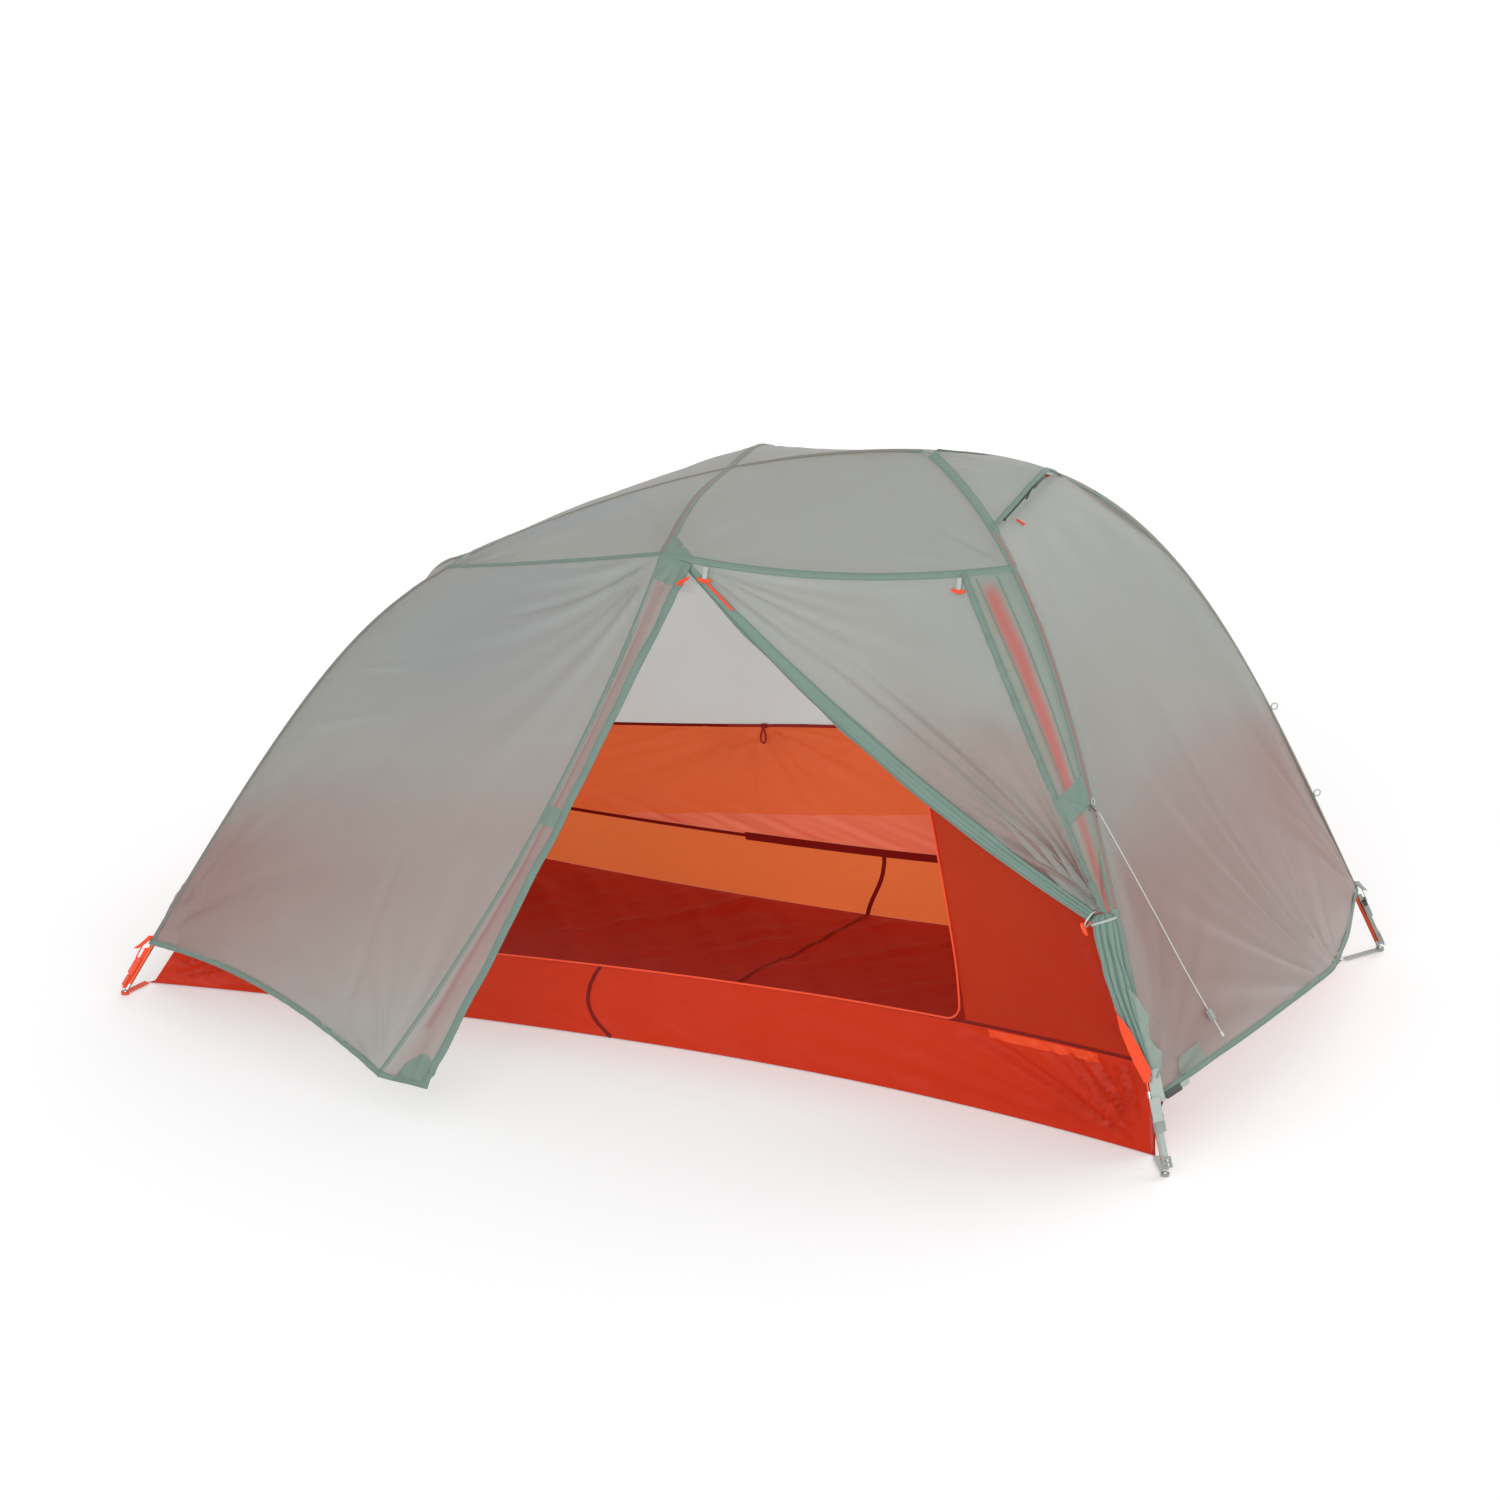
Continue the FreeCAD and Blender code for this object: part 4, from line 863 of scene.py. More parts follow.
def rows_uv(rows):
    """UVs of a tape: in from its nearer edge, and along it, in metres."""
    steps = np.linalg.norm(np.diff(rows, axis=1), axis=2).mean(0)
    across = np.concatenate([[0], np.cumsum(steps)])
    inward = np.minimum(across, across[-1] - across)
    middle = rows[:, rows.shape[1] // 2]
    run = np.concatenate([[0], np.cumsum(np.linalg.norm(np.diff(middle, axis=0), axis=1))])
    return np.stack(np.broadcast_arrays(inward[None, :], run[:, None]), -1)


def tape_piece(name, rows, material, body="root", pole_glow_from=None):
    """A tape; pole_glow_from is the share of its length from which its middle is painted with the
    colour of the pole showing through it.
    """
    lit = np.zeros(rows.shape[:2])
    if pole_glow_from is not None:
        shown = (np.linspace(0, 1, len(rows)) - pole_glow_from) * 25
        lit[:, rows.shape[1] // 2] = np.clip(shown, 0, 1)
    return mesh_piece(name, rows, material, body, uv=rows_uv(rows), glow=lit)


def dot(a, b):
    return np.sum(a * b, axis=-1, keepdims=True)


def away_from_middle(normal, point):
    return normal * np.where(dot(normal, point - INSIDE) < 0, -1, 1)


def over_seam(line, beside_a, beside_b, width, count=70, lift=LIFT):
    """Rows of a tape that covers the seam between two panels; beside_* are points on them."""
    s = np.linspace(0, 1, count)
    middle = line(s)
    run = along(line, s, RUN_STEP)
    sides = []
    normals = []
    for beside in (beside_a, beside_b):
        toward = beside(s) - middle
        toward = unit(toward - run * dot(toward, run))
        sides.append(toward)
        normals.append(away_from_middle(unit(np.cross(run, toward)), middle))
    crown = unit(normals[0] + normals[1]) * lift * 1.7
    rows = [middle + sides[0] * width * share + normals[0] * lift for share in (0.5, 0.22)]
    rows.append(middle + crown)
    rows += [middle + sides[1] * width * share + normals[1] * lift for share in (0.22, 0.5)]
    return np.stack(rows, 1)


HEM_TURN = 0.0016


def round_edge(line, beside, width, count=70, lift=LIFT):
    """Rows of a hem tape folded round a free edge of cloth."""
    s = np.linspace(0, 1, count)
    edge = line(s)
    run = along(line, s, RUN_STEP)
    inward = beside(s) - edge
    inward = unit(inward - run * dot(inward, run))
    normal = away_from_middle(unit(np.cross(run, inward)), edge) * lift
    turn = inward * HEM_TURN
    return np.stack([edge + inward * width + normal, edge + inward * width * 0.5 + normal,
                     edge + normal, edge - turn, edge - normal,
                     edge + inward * width * 0.5 - normal, edge + inward * width - normal], 1)


def on_panel(panel, path, width, count=60, lift=LIFT):
    """Rows of a tape that lies on a panel along path(s), which gives shares across and down."""
    s = np.linspace(0, 1, count)
    u, v = path(s)
    normal = panel.normal(u, v)
    middle = panel(u, v) + normal * lift
    run = unit(np.gradient(middle, axis=0))
    side = unit(np.cross(normal, run))
    breadth = np.broadcast_to(np.asarray(width, float), s.shape)
    return np.stack([middle + side * column(breadth * share) for share in
                     (-0.5, -0.25, 0, 0.25, 0.5)], 1)


def plate(name, panel, outline, material, lift=LIFT * 1.4, pitch=0.006, size=0.08):
    """A patch sewn on a panel; outline(a, b) gives its shares across and down the panel."""
    count = max(int(size / pitch), 6)
    a, b = grid(count, count)
    u, v = outline(a, b)
    return mesh_piece(name, panel(u, v) + panel.normal(u, v) * lift, material)


def swept(line, section, count, hint):
    """Rows of a section carried along a line; hint is the section's first direction."""
    s = np.linspace(0, 1, count)
    run = along(line, s, RUN_STEP)
    first = unit(np.asarray(hint, float) - run * dot(np.asarray(hint, float), run))
    second = np.cross(run, first)
    x, y = section(s[:, None])
    return (line(s)[:, None, :] + first[:, None, :] * x[..., None]
            + second[:, None, :] * y[..., None])


def even(radius):
    """The same half thickness all along a bar."""
    return lambda s: radius + 0 * s


def rounded(radius, power=0.45):
    """A half thickness that runs out to nothing at both ends of a bar."""
    return lambda s: radius * np.maximum(1 - np.abs(2 * s - 1) ** 3, 0) ** power


def rod_piece(name, line, radius, material, body="root", sides=14, count=24, flat=1.0,
              hint=(0, 0, 1)):
    """A rounded bar along a line; radius(s) is its half thickness and flat its breadth ratio."""
    turn = np.linspace(0, 2 * math.pi, sides + 1)[None, :]

    def section(s):
        reach = radius(s)
        return reach * np.cos(turn), reach * flat * np.sin(turn)
    rows = swept(line, section, count, hint)
    rows[0] = rows[0].mean(0)
    rows[-1] = rows[-1].mean(0)
    return mesh_piece(name, rows, material, body)


def edge_strip(line, offset, breadth, direction, count=24):
    """Rows of a flat strip beside a line, a little higher along its middle."""
    s = np.linspace(0, 1, count)
    middle = line(s) + offset
    step = unit(np.asarray(direction, float)) * breadth / 2
    return np.stack([middle - step, middle + OUTWARD * STRIP_CROWN, middle + step], 1)


# ---------------------------------------------------------------- inner tent

INNER = "inner_cloth"
FLOOR = "floor_cloth"
NEAR_SPLIT = 0.30
front_upper = upper_of(inner_side)
front_lower = lower_of(inner_side)
wall_folds = (pucker("bottom", 0.06, 0.004, 0.09, 3), billow(0.004, 0.5, 5),
              fan(1, 1, 0.30, 0.006, 9, 6), fan(0.1, 0, 0.30, 0.005, 9, 12))
far_folds = (pucker("top", 0.08, 0.006, 0.14, 7, 1.6), billow(0.005, 0.45, 8),
             pucker("bottom", 0.06, 0.005, 0.18, 9, 2.2), fan(0.43, 0.0, 0.30, 0.007, 12, 10))


def overlapped(surface, depth):
    """A wall whose lower edge reaches down over the cloth it is sewn to."""
    return lambda u, v: surface(u, v) - UP * column(depth * np.asarray(v, float) ** 6 + 0 * u)


lower_rear = Panel(overlapped(lower_of(rear_side), 0.005), far_folds)
inner_panels = [
    ("inner_front_panel_foot", "upper", part_of(front_upper, 0, DOOR_FOOT, 0, 1), inner_pale),
    ("inner_front_panel_foot", "lower", part_of(front_lower, 0, DOOR_FOOT, 0, 1), inner_near),
    ("inner_front_panel_head", "upper", part_of(inner_side, DOOR_HEAD, 1, 0, NEAR_SPLIT),
     inner_pale),
    ("inner_front_panel_head", "lower", part_of(inner_side, DOOR_HEAD, 1, NEAR_SPLIT, 1),
     inner_near),
    ("inner_front_panel_top", "cloth", part_of(inner_side, DOOR_FOOT, DOOR_HEAD, 0, DOOR_TOP),
     inner_pale),
    ("inner_rear_wall_upper", "cloth", upper_of(rear_side), inner_pale),
    ("inner_roof_foot", "cloth", foot_roof, inner_pale),
    ("inner_roof_head", "cloth", head_roof, inner_pale),
    ("inner_foot_wall", "upper", upper_end(foot_wall), inner_pale),
    ("inner_foot_wall", "lower", lower_end(foot_wall), inner_near),
    ("inner_head_wall", "upper", upper_end(head_wall), inner_pale),
    ("inner_head_wall", "lower", lower_end(head_wall), inner_near),
]
for node, part, surface, material in inner_panels:
    cloth_piece(f"{node}_{part}", Panel(surface, wall_folds), material,
                [node], pitch=0.014)
cloth_piece("inner_rear_wall_lower_cloth", lower_rear, inner_far_lit, ["inner_rear_wall_lower"])


def floor_surface(u, v):
    ends = [lambda s, side=side: floor_end(side)(1 - s) for side in (-1, 1)]
    return patch(other_side(floor_side), floor_side, *ends)(u, v)


def rumple(depth, pitch, seed):
    """Low creases in the floor that only stand up from the ground."""
    def height_at(x, y, width, height):
        turn = 2 * math.pi / pitch
        ridges = ripple((x + 0.8 * y) * turn, seed) + ripple((x - 0.5 * y) * turn * 0.6, seed + 1)
        return -depth * np.maximum(ridges, 0)
    return height_at


floor_panel = Panel(moved(floor_surface, UP * SHEET_RISE), (rumple(0.005, 0.30, 21),
                                                        rumple(0.003, 0.13, 25)))
tub_folds = (pucker("top", 0.05, 0.005, 0.12, 31, 1.8), billow(0.004, 0.4, 33),
             fan(1, 1, 0.55, 0.014, 22, 35), fan(0, 1, 0.45, 0.011, 18, 37),
             pucker("bottom", 0.03, 0.003, 0.16, 39, 2.5))
tub_front = Panel(tub_side, tub_folds)
tub_rear = Panel(other_side(tub_side), tub_folds)
cloth_piece("bathtub_floor_sheet", floor_panel, floor_red, ["bathtub_floor"], pitch=0.016)
cloth_piece("bathtub_wall_front", tub_front, tub_near, ["bathtub_floor"])
cloth_piece("bathtub_wall_rear", tub_rear, tub_far_lit, ["bathtub_floor"])

# The bathtub's corners: cloth between the end of a long wall and the end wall beside it.
for end, share, wall in (("foot", 0, foot_wall), ("head", 1, head_wall)):
    for side, tub, edge in (("front", tub_front, 0), ("rear", tub_rear, 1)):
        down = np.linspace(0, 1, 16)
        long_wall = tub(share + 0 * down, down)
        end_wall = wall(edge + 0 * down, WALL_END + (1 - WALL_END) * down)
        tape_piece(f"tub_corner_{end}_{side}",
                   np.stack([long_wall, (long_wall + end_wall) / 2, end_wall], 1), tub_near)

# Tapes and patches of the inner tent. Those on the far wall are seen from inside the tent.
INWARD = -LIFT * 1.5


def across_at(v, low=0.0, high=1.0):
    return lambda s: (between(low, high, s), v + 0 * s)


def down_at(u, low=0.02, high=0.98):
    return lambda s: (u + 0 * s, between(low, high, s))


def winding(stops):
    """A smooth path through shares of a panel, given one after another."""
    middle = np.asarray(stops, float)

    def path(s):
        point = bezier(middle, s)
        return point[..., 0], point[..., 1]
    return path


inner_tapes = [
    ("inner_split_tape", lower_rear, across_at(0.012), 0.007, 120, INWARD, INNER),
    ("tub_rear_tape_thin", tub_rear, across_at(0.01, 0.0, 0.420), 0.008, 80, INWARD * 1.6, INNER),
    ("tub_rear_tape_wide", tub_rear, across_at(0.02, 0.419, 1), 0.019, 80, INWARD * 1.8, INNER),
    ("tub_rear_seam", tub_rear, winding([(0.566, 0.04), (0.569, 0.5), (0.557, 0.6), (0.553, 1)]),
     0.009, 30, INWARD, FLOOR),
    ("floor_seam", floor_panel,
     winding([(0.553, 0.01), (0.541, 0.16), (0.530, 0.3), (0.438, 0.99)]), 0.005, 60, INWARD * 2,
     FLOOR),
    ("tub_front_seam", tub_front,
     winding([(0.416, 0.02), (0.405, 0.4), (0.410, 0.7), (0.444, 0.99)]), 0.008, 30, LIFT, FLOOR),
]
for name, panel, path, width, count, lift, slot in inner_tapes:
    tape_piece(name, on_panel(panel, path, width, count, lift), red_tape)
plate("tub_front_bright_tape", tub_front, lambda a, b: (0.825 + 0.12 * a, 0.045 + 0.10 * b),
      bright_orange, size=0.27)
tape_piece("tub_front_top_tape", on_panel(tub_front, across_at(0.015), 0.006, 120),
           red_tape)


def lit_wedge(a, b):
    """The stretch of far wall over the bathtub that more light comes through."""
    u = 0.29 + 0.45 * a
    return u, 0.985 - (0.02 + 0.33 * a ** 0.7) * (1 - b)


inner_salmon = cloth_material("inner_orange_lit", rgb(255, 150, 118), rgb(255, 170, 136), 0.3,
                              rough=0.55, in_shadow=0.75)
plate("inner_rear_lit_patch", lower_rear, lit_wedge, inner_salmon, INWARD * 0.8, 0.012, 0.9)
for side, wall in (("front", inner_side), ("rear", rear_side)):
    for end, u in (("foot", 0.004), ("head", 0.996)):
        tape_piece(f"inner_corner_tape_{end}_{side}", on_panel(Panel(wall), down_at(u), 0.007),
                   red_tape)

# The inner door, unzipped and rolled against the foot side of its doorway.


def inner_roll_line(s):
    return inner_side(0 * s + DOOR_FOOT, 0.16 + 0.76 * s) + place(-0.014, 0.030, 0)


def wound(radius, turns, layers, seed):
    """A section like a rolled sheet: it winds inwards, with soft uneven layers."""
    turn = np.linspace(0, 1, layers)[None, :]

    def section(s):
        angle = turn * turns * 2 * math.pi + 0.5 * ripple(s * 5, seed)
        reach = radius(s) * (1 - 0.34 * turn) * (1 + 0.07 * ripple(s * 22 + angle * 1.5, seed + 1))
        return reach * np.cos(angle), reach * np.sin(angle)
    return section


def gathered_piece(name, line, section, count, hint, material, stands_for):
    """Drawn-together cloth: a section carried along a line."""
    rows = swept(line, section, count, hint)
    piece = mesh_piece(name, rows, material)
    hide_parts(*stands_for)
    return piece


gathered_piece("inner_door_rolled", inner_roll_line,
               wound(lambda s: 0.010 + 0.008 * np.sin(math.pi * np.minimum(s, 0.96)), 1.6, 40, 41),
               70, (1, 0, 0), inner_near, ["inner_front_door_roll"])

# ---------------------------------------------------------------- fly

orange_walls = [tub_front, tub_rear, Panel(lower_of(rear_side)), Panel(front_lower),
                Panel(lower_end(foot_wall)), Panel(lower_end(head_wall))]


def solid_tree(panels, count=24):
    u, v = grid(count, count)
    points = []
    faces = []
    for panel in panels:
        first = len(points)
        points += [Vector(p) for p in panel(u, v).reshape(-1, 3)]
        faces += [tuple(first + k for k in quad) for quad in grid_quads(count, count)]
    return BVHTree.FromPolygons(points, faces)


orange_tree = solid_tree(orange_walls)
SEE_REACH = 0.9
SEE_FADE = 0.32
GLOW_GAIN = 2.4


def painted_glow_through(panel, strength, count=22):
    """How much of the orange inner tent shows through each part of a fly panel, as painted orange
    light.
    """
    u, v = grid(count, count)
    points = panel.surface(u, v)
    inward = -panel.normal(u, v)
    helper = np.where(np.abs(inward[..., 2:3]) > 0.9, place(1, 0, 0), UP)
    first = unit(np.cross(inward, helper))
    second = np.cross(inward, first)
    total = np.zeros(u.shape)
    spokes = [(0.0, 0.0)] + [(0.6, k * math.pi / 3) for k in range(6)]
    for lean, turn in spokes:
        way = unit(inward + lean * (first * math.cos(turn) + second * math.sin(turn)))
        for i in range(count + 1):
            for j in range(count + 1):
                hit = orange_tree.ray_cast(Vector(points[i, j]), Vector(way[i, j]), SEE_REACH)
                if hit[0] is not None:
                    total[i, j] += math.exp(-hit[3] / SEE_FADE)
    total = total / len(spokes)

    def glow(u, v):
        x = np.clip(u, 0, 1) * count
        y = np.clip(v, 0, 1) * count
        i = np.minimum(x.astype(int), count - 1)
        j = np.minimum(y.astype(int), count - 1)
        fx, fy = x - i, y - j
        low = total[i, j] * (1 - fy) + total[i, j + 1] * fy
        high = total[i + 1, j] * (1 - fy) + total[i + 1, j + 1] * fy
        return strength * (1 - np.exp(-GLOW_GAIN * (low * (1 - fx) + high * fx)))
    return glow


def plus(*tints):
    return lambda u, v: sum(tint(u, v) for tint in tints)


def flap_glow_tint(u, v):
    """Painted reddish light on the flap: a broad glow and a band down it, where the zip's coloured
    tape lies behind it.
    """
    line = np.exp(-((u - 0.22 - 0.1 * v) / 0.07) ** 2) * (v < 0.9)
    return 0.32 * np.exp(-((u - 0.5) / 0.35) ** 2) + 0.40 * line


def sky_light_tint(u, v):
    """A cool patch of painted sky light high on the panel, where open sky lies behind the cloth."""
    return -0.32 * np.exp(-((u - 0.42) / 0.42) ** 2 - ((v - 0.20) / 0.32) ** 2)


def strip_glow_tint(u, v):
    """Painted light of the pole clip's coloured strap behind the strip, from under the door seam to
    the tie.
    """
    middle = 0.36 + 0.16 * v + 0.03 * ripple(v * 9, 51)
    shown = 1 / (1 + np.exp(-(v - 0.05) * 90)) * np.where(v > 0.70, 0.7, 1.0)
    return 0.80 * np.exp(-(np.abs(u - middle) / 0.17) ** 3) * shown


roof_folds = (billow(0.003, 0.55, 61), fan(1, 1, 0.25, 0.004, 10, 62),
              fan(0, 1, 0.22, 0.004, 9, 63), pucker("right", 0.03, 0.0016, 0.05, 64),
              pucker("left", 0.03, 0.0016, 0.05, 65))
foot_roof_folds = (billow(0.003, 0.5, 66), fan(0, 1, 0.35, 0.004, 12, 67),
                   fan(1, 1, 0.30, 0.004, 10, 68))
vestibule_folds = (
    billow(0.006, 0.75, 71), fan(1, 0, 0.55, 0.009, 11, 72), fan(1, 1, 0.40, 0.008, 10, 73),
    fan(0, 1, 0.40, 0.007, 11, 74), pucker("left", 0.07, 0.0035, 0.07, 75, 1.3),
    pucker("bottom", 0.05, 0.003, 0.08, 76, 0.6), crease((0.66, 0.70), (0.80, 0.97), 0.009, -0.008),
    crease((0.93, 0.01), (0.52, 0.16), 0.016, -0.010),
    crease((0.12, 0.45), (0.30, 0.38), 0.010, 0.006),
    crease((0.10, 0.62), (0.34, 0.50), 0.012, 0.007))
flap_folds = (billow(0.003, 0.30, 81), fan(0.5, 0, 0.35, 0.004, 6, 82),
              pucker("left", 0.02, 0.0015, 0.06, 83, 1.0), fan(0.7, 1, 0.25, 0.004, 6, 84))
strip_folds = (pucker("left", 0.02, 0.0022, 0.075, 91), pucker("right", 0.02, 0.002, 0.05, 92, 1.0),
               billow(0.002, 0.2, 93), fan(0.2, 1, 0.35, 0.006, 5, 94))
door_folds = (billow(0.005, 0.6, 101), fan(0.9, 1.0, 0.62, 0.016, 9, 102),
              fan(0, 0, 0.30, 0.005, 9, 103), pucker("top", 0.03, 0.002, 0.06, 104),
              crease((0.42, 0.34), (0.80, 0.96), 0.012, -0.012),
              crease((0.22, 0.30), (0.60, 0.94), 0.014, 0.010))
head_folds = (billow(0.004, 0.8, 111), crease((0.0, 0.50), (0.17, 1.02), 0.045, -0.007),
              fan(0.5, 1.02, 0.45, 0.006, 14, 112),
              fan(0, 1, 0.40, 0.006, 12, 113), fan(1, 1, 0.40, 0.004, 12, 114),
              pucker("right", 0.05, 0.002, 0.11, 115, 1.2), pucker("left", 0.04, 0.002, 0.07, 116),
              fan(0, 0.55, 0.16, 0.0025, 12, 117))
foot_folds = (billow(0.006, 0.8, 121), fan(0.5, 1.02, 0.55, 0.008, 14, 122),
              pucker("left", 0.08, 0.004, 0.09, 123, 1.2),
              pucker("right", 0.08, 0.004, 0.09, 124, 1.2))
hood_folds = (billow(0.002, 0.3, 131), fan(0.5, 1, 0.3, 0.003, 8, 132))
rear_door_folds = (billow(0.006, 0.75, 141), fan(0, 0, 0.5, 0.008, 10, 142),
                   fan(0, 1, 0.4, 0.008, 10, 143), fan(1, 1, 0.4, 0.006, 11, 144),
                   pucker("right", 0.06, 0.0035, 0.07, 145, 1.2),
                   pucker("bottom", 0.05, 0.003, 0.08, 146))

HEM = ("bottom",)
fly = {
    "fly_roof_front": Panel(roof_front, roof_folds),
    "fly_roof_rear": Panel(other_side(roof_front), roof_folds),
    "fly_foot_roof_front": Panel(foot_roof_front, foot_roof_folds),
    "fly_foot_roof_rear": Panel(other_side(foot_roof_front), foot_roof_folds),
    "fly_head_end": Panel(head_end, head_folds, HEM),
    "fly_foot_end": Panel(foot_end, foot_folds, HEM),
    "fly_vent_hood": Panel(vent_hood, hood_folds, HEM),
    "vestibule_front_panel": Panel(vestibule_foot, vestibule_folds, HEM),
    "vestibule_rear_panel": Panel(other_side(vestibule_foot), vestibule_folds, HEM),
    "vestibule_front_flap": Panel(front_flap, flap_folds, ("bottom", "right")),
    "vestibule_rear_flap": Panel(rear_flap, flap_folds, ("bottom", "right")),
    "vestibule_front_strip": Panel(front_strip, strip_folds, ("left", "bottom")),
    "vestibule_front_door": Panel(tied_door, door_folds, ("bottom",)),
    "vestibule_rear_door": Panel(rear_door, rear_door_folds, HEM),
}
# Painted light on some fly panels, added to their glow: coloured parts behind them and cool sky
# light showing through.
tints = {"vestibule_front_flap": flap_glow_tint, "vestibule_rear_flap": flap_glow_tint,
         "vestibule_front_strip": strip_glow_tint, "vestibule_front_panel": sky_light_tint,
         "fly_foot_roof_front": sky_light_tint}
# How strongly the painted orange light through each kind of fly panel shows.
GLOW_STRENGTH = {"strip": 0.2, "flap": 0.2, "end": 0.36}
for node, panel in fly.items():
    strength = next((GLOW_STRENGTH[word] for word in GLOW_STRENGTH if word in node), 0.56)
    glow = painted_glow_through(panel, strength)
    if node in tints:
        glow = plus(glow, tints[node])
    material = fly_strip if node == "vestibule_front_strip" else fly_cloth
    cloth_piece(node + "_cloth", panel, material, [node], glow=glow)

# Seam tapes. Along the poles their middle is painted with the colour of the pole showing through
# them.
POLE_TAPE = 0.020
HEM_TAPE = 0.011
TAPE_START = 0.012


def line_on(surface, u, v, low, high):
    """A line on a surface at a fixed u or v, between two shares of the other."""
    def line(s):
        other = between(low, high, s)
        return surface(0 * other + u, other) if v is None else surface(other, 0 * other + v)
    return line


def by(node, u=None, v=None, low=0.0, high=1.0):
    """A line beside an edge of a fly panel, without the panel's folds."""
    return line_on(fly[node].surface, u, v, low, high)


def edge_of(node, u=None, v=None, low=0.0, high=1.0):
    """A line on a fly panel, with its folds."""
    return line_on(fly[node], u, v, low, high)


def share_on_end(share):
    """A share of the head leg, as a share down the head end's edge."""
    return (share - VENT_SHARE) / (HEM_HEAD - VENT_SHARE)


def beside_upper(edge):
    """Beside the upper head leg: on the hood first, then on the head end."""
    def line(s):
        share = between(TAPE_START, SEAM_HEAD, s)
        on_hood = fly["fly_vent_hood"].surface(0 * share + edge, np.minimum(share / VENT_SHARE, 1))
        on_end = head_end(0 * share + edge, np.maximum(share_on_end(share), 0))
        return np.where(column(share) < VENT_SHARE, on_hood, on_end)
    return line


vent_to_seam = share_on_end(SEAM_HEAD)
tie_on_end = share_on_end(TIE_SHARE)
POLE_GLOW_START = 0.72
for side, end_u, hood_u, turn in (("front", 0.02, 0.04, lambda curve: curve),
                                  ("rear", 0.98, 0.96, other_side)):
    roof, foot_roof, panel = f"fly_roof_{side}", f"fly_foot_roof_{side}", f"vestibule_{side}_panel"
    seams = [
        ("head_leg_tape_upper", fly_leg(head_leg, TAPE_START, SEAM_HEAD), by(roof, u=0.95),
         beside_upper(hood_u), POLE_TAPE, POLE_GLOW_START),
        ("foot_leg_tape", fly_leg(foot_leg, SEAM_FOOT, HEM_FOOT), by(panel, u=0.03),
         by("fly_foot_end", u=end_u), POLE_TAPE, 0.0),
        ("brow_tape", fly_brow, by(roof, u=0.05), by(foot_roof, u=0.95), POLE_TAPE, 0.0),
        ("foot_seam_tape", foot_seam, by(foot_roof, v=0.9), by(panel, v=0.03), 0.010, None),
        ("zip_tape", zip_line, by(panel, u=0.96), by(f"vestibule_{side}_flap", u=0.3), 0.012, None),
    ]
    for name, line, beside_a, beside_b, width, pole_glow in seams:
        tape_piece(f"{name}_{side}", over_seam(turn(line), beside_a, beside_b, width),
                   fly_tape if pole_glow is None else pole_tape, pole_glow_from=pole_glow)
tape_piece("door_seam_tape_front", over_seam(door_seam, by("fly_roof_front", v=0.93),
                                             moved(door_seam, (0, -0.02, -0.04)), 0.017), fly_tape)
tape_piece("door_seam_tape_rear", over_seam(other_side(door_seam), by("fly_roof_rear", v=0.93),
                                            by("vestibule_rear_door", v=0.04), 0.017), fly_tape)
tape_piece("head_leg_tape_lower_front",
           over_seam(fly_leg(head_leg, SEAM_HEAD, TIE_SHARE), by("vestibule_front_strip", u=0.7),
                     by("fly_head_end", u=0.02, low=vent_to_seam, high=tie_on_end), POLE_TAPE),
           pole_tape, pole_glow_from=0.0)
tape_piece("head_leg_tape_lower_rear",
           over_seam(other_side(fly_leg(head_leg, SEAM_HEAD, HEM_HEAD)),
                     by("vestibule_rear_door", u=0.97),
                     by("fly_head_end", u=0.98, low=vent_to_seam), POLE_TAPE), pole_tape,
           pole_glow_from=0.0)
ridge_line = fly_ridge(0.01, 0.99)
tape_piece("ridge_tape", over_seam(ridge_line, moved(ridge_line, (0, -0.05, -0.004)),
                                   moved(ridge_line, (0, 0.05, -0.004)), 0.014),
           pole_tape, pole_glow_from=0.0)
tape_piece("strip_edge_tape", over_seam(edge_of("vestibule_front_strip", u=0.0),
                                        by("vestibule_front_door", u=0.96),
                                        by("vestibule_front_strip", u=0.2), 0.015, 120,
                                        LIFT * 2.6), fly_tape)
for name, low, high in (("strip_line_left", 0.20, 0.33), ("strip_line_right", 0.60, 0.70)):
    tape_piece(name, on_panel(fly["vestibule_front_strip"],
                              lambda s, a=low, b=high: (between(a, b, s), 0.02 + 0.64 * s),
                              0.004, 80), fly_tape)

hems = [
    ("head_end_hem", "fly_head_end", "v", 0.97, HEM_TAPE),
    ("foot_end_hem", "fly_foot_end", "v", 0.97, HEM_TAPE),
    ("hood_hem", "fly_vent_hood", "v", 0.9, 0.009),
    ("front_panel_hem", "vestibule_front_panel", "v", 0.97, HEM_TAPE),
    ("rear_panel_hem", "vestibule_rear_panel", "v", 0.97, HEM_TAPE),
    ("rear_door_hem", "vestibule_rear_door", "v", 0.97, HEM_TAPE),
    ("front_flap_hem", "vestibule_front_flap", "v", 0.97, HEM_TAPE),
    ("rear_flap_hem", "vestibule_rear_flap", "v", 0.97, HEM_TAPE),
    ("front_flap_edge", "vestibule_front_flap", "u", 0.8, 0.016),
    ("rear_flap_edge", "vestibule_rear_flap", "u", 0.8, 0.016),
]
for name, node, axis, beside, width in hems:
    tape_piece(name, round_edge(edge_of(node, **{axis: 1.0}), edge_of(node, **{axis: beside}),
                                width, 110, LIFT * 2.2), fly_tape)
tape_piece("head_end_edge", round_edge(edge_of("fly_head_end", u=0.0, low=tie_on_end),
                                       edge_of("fly_head_end", u=0.03, low=tie_on_end), 0.013),
           fly_tape)

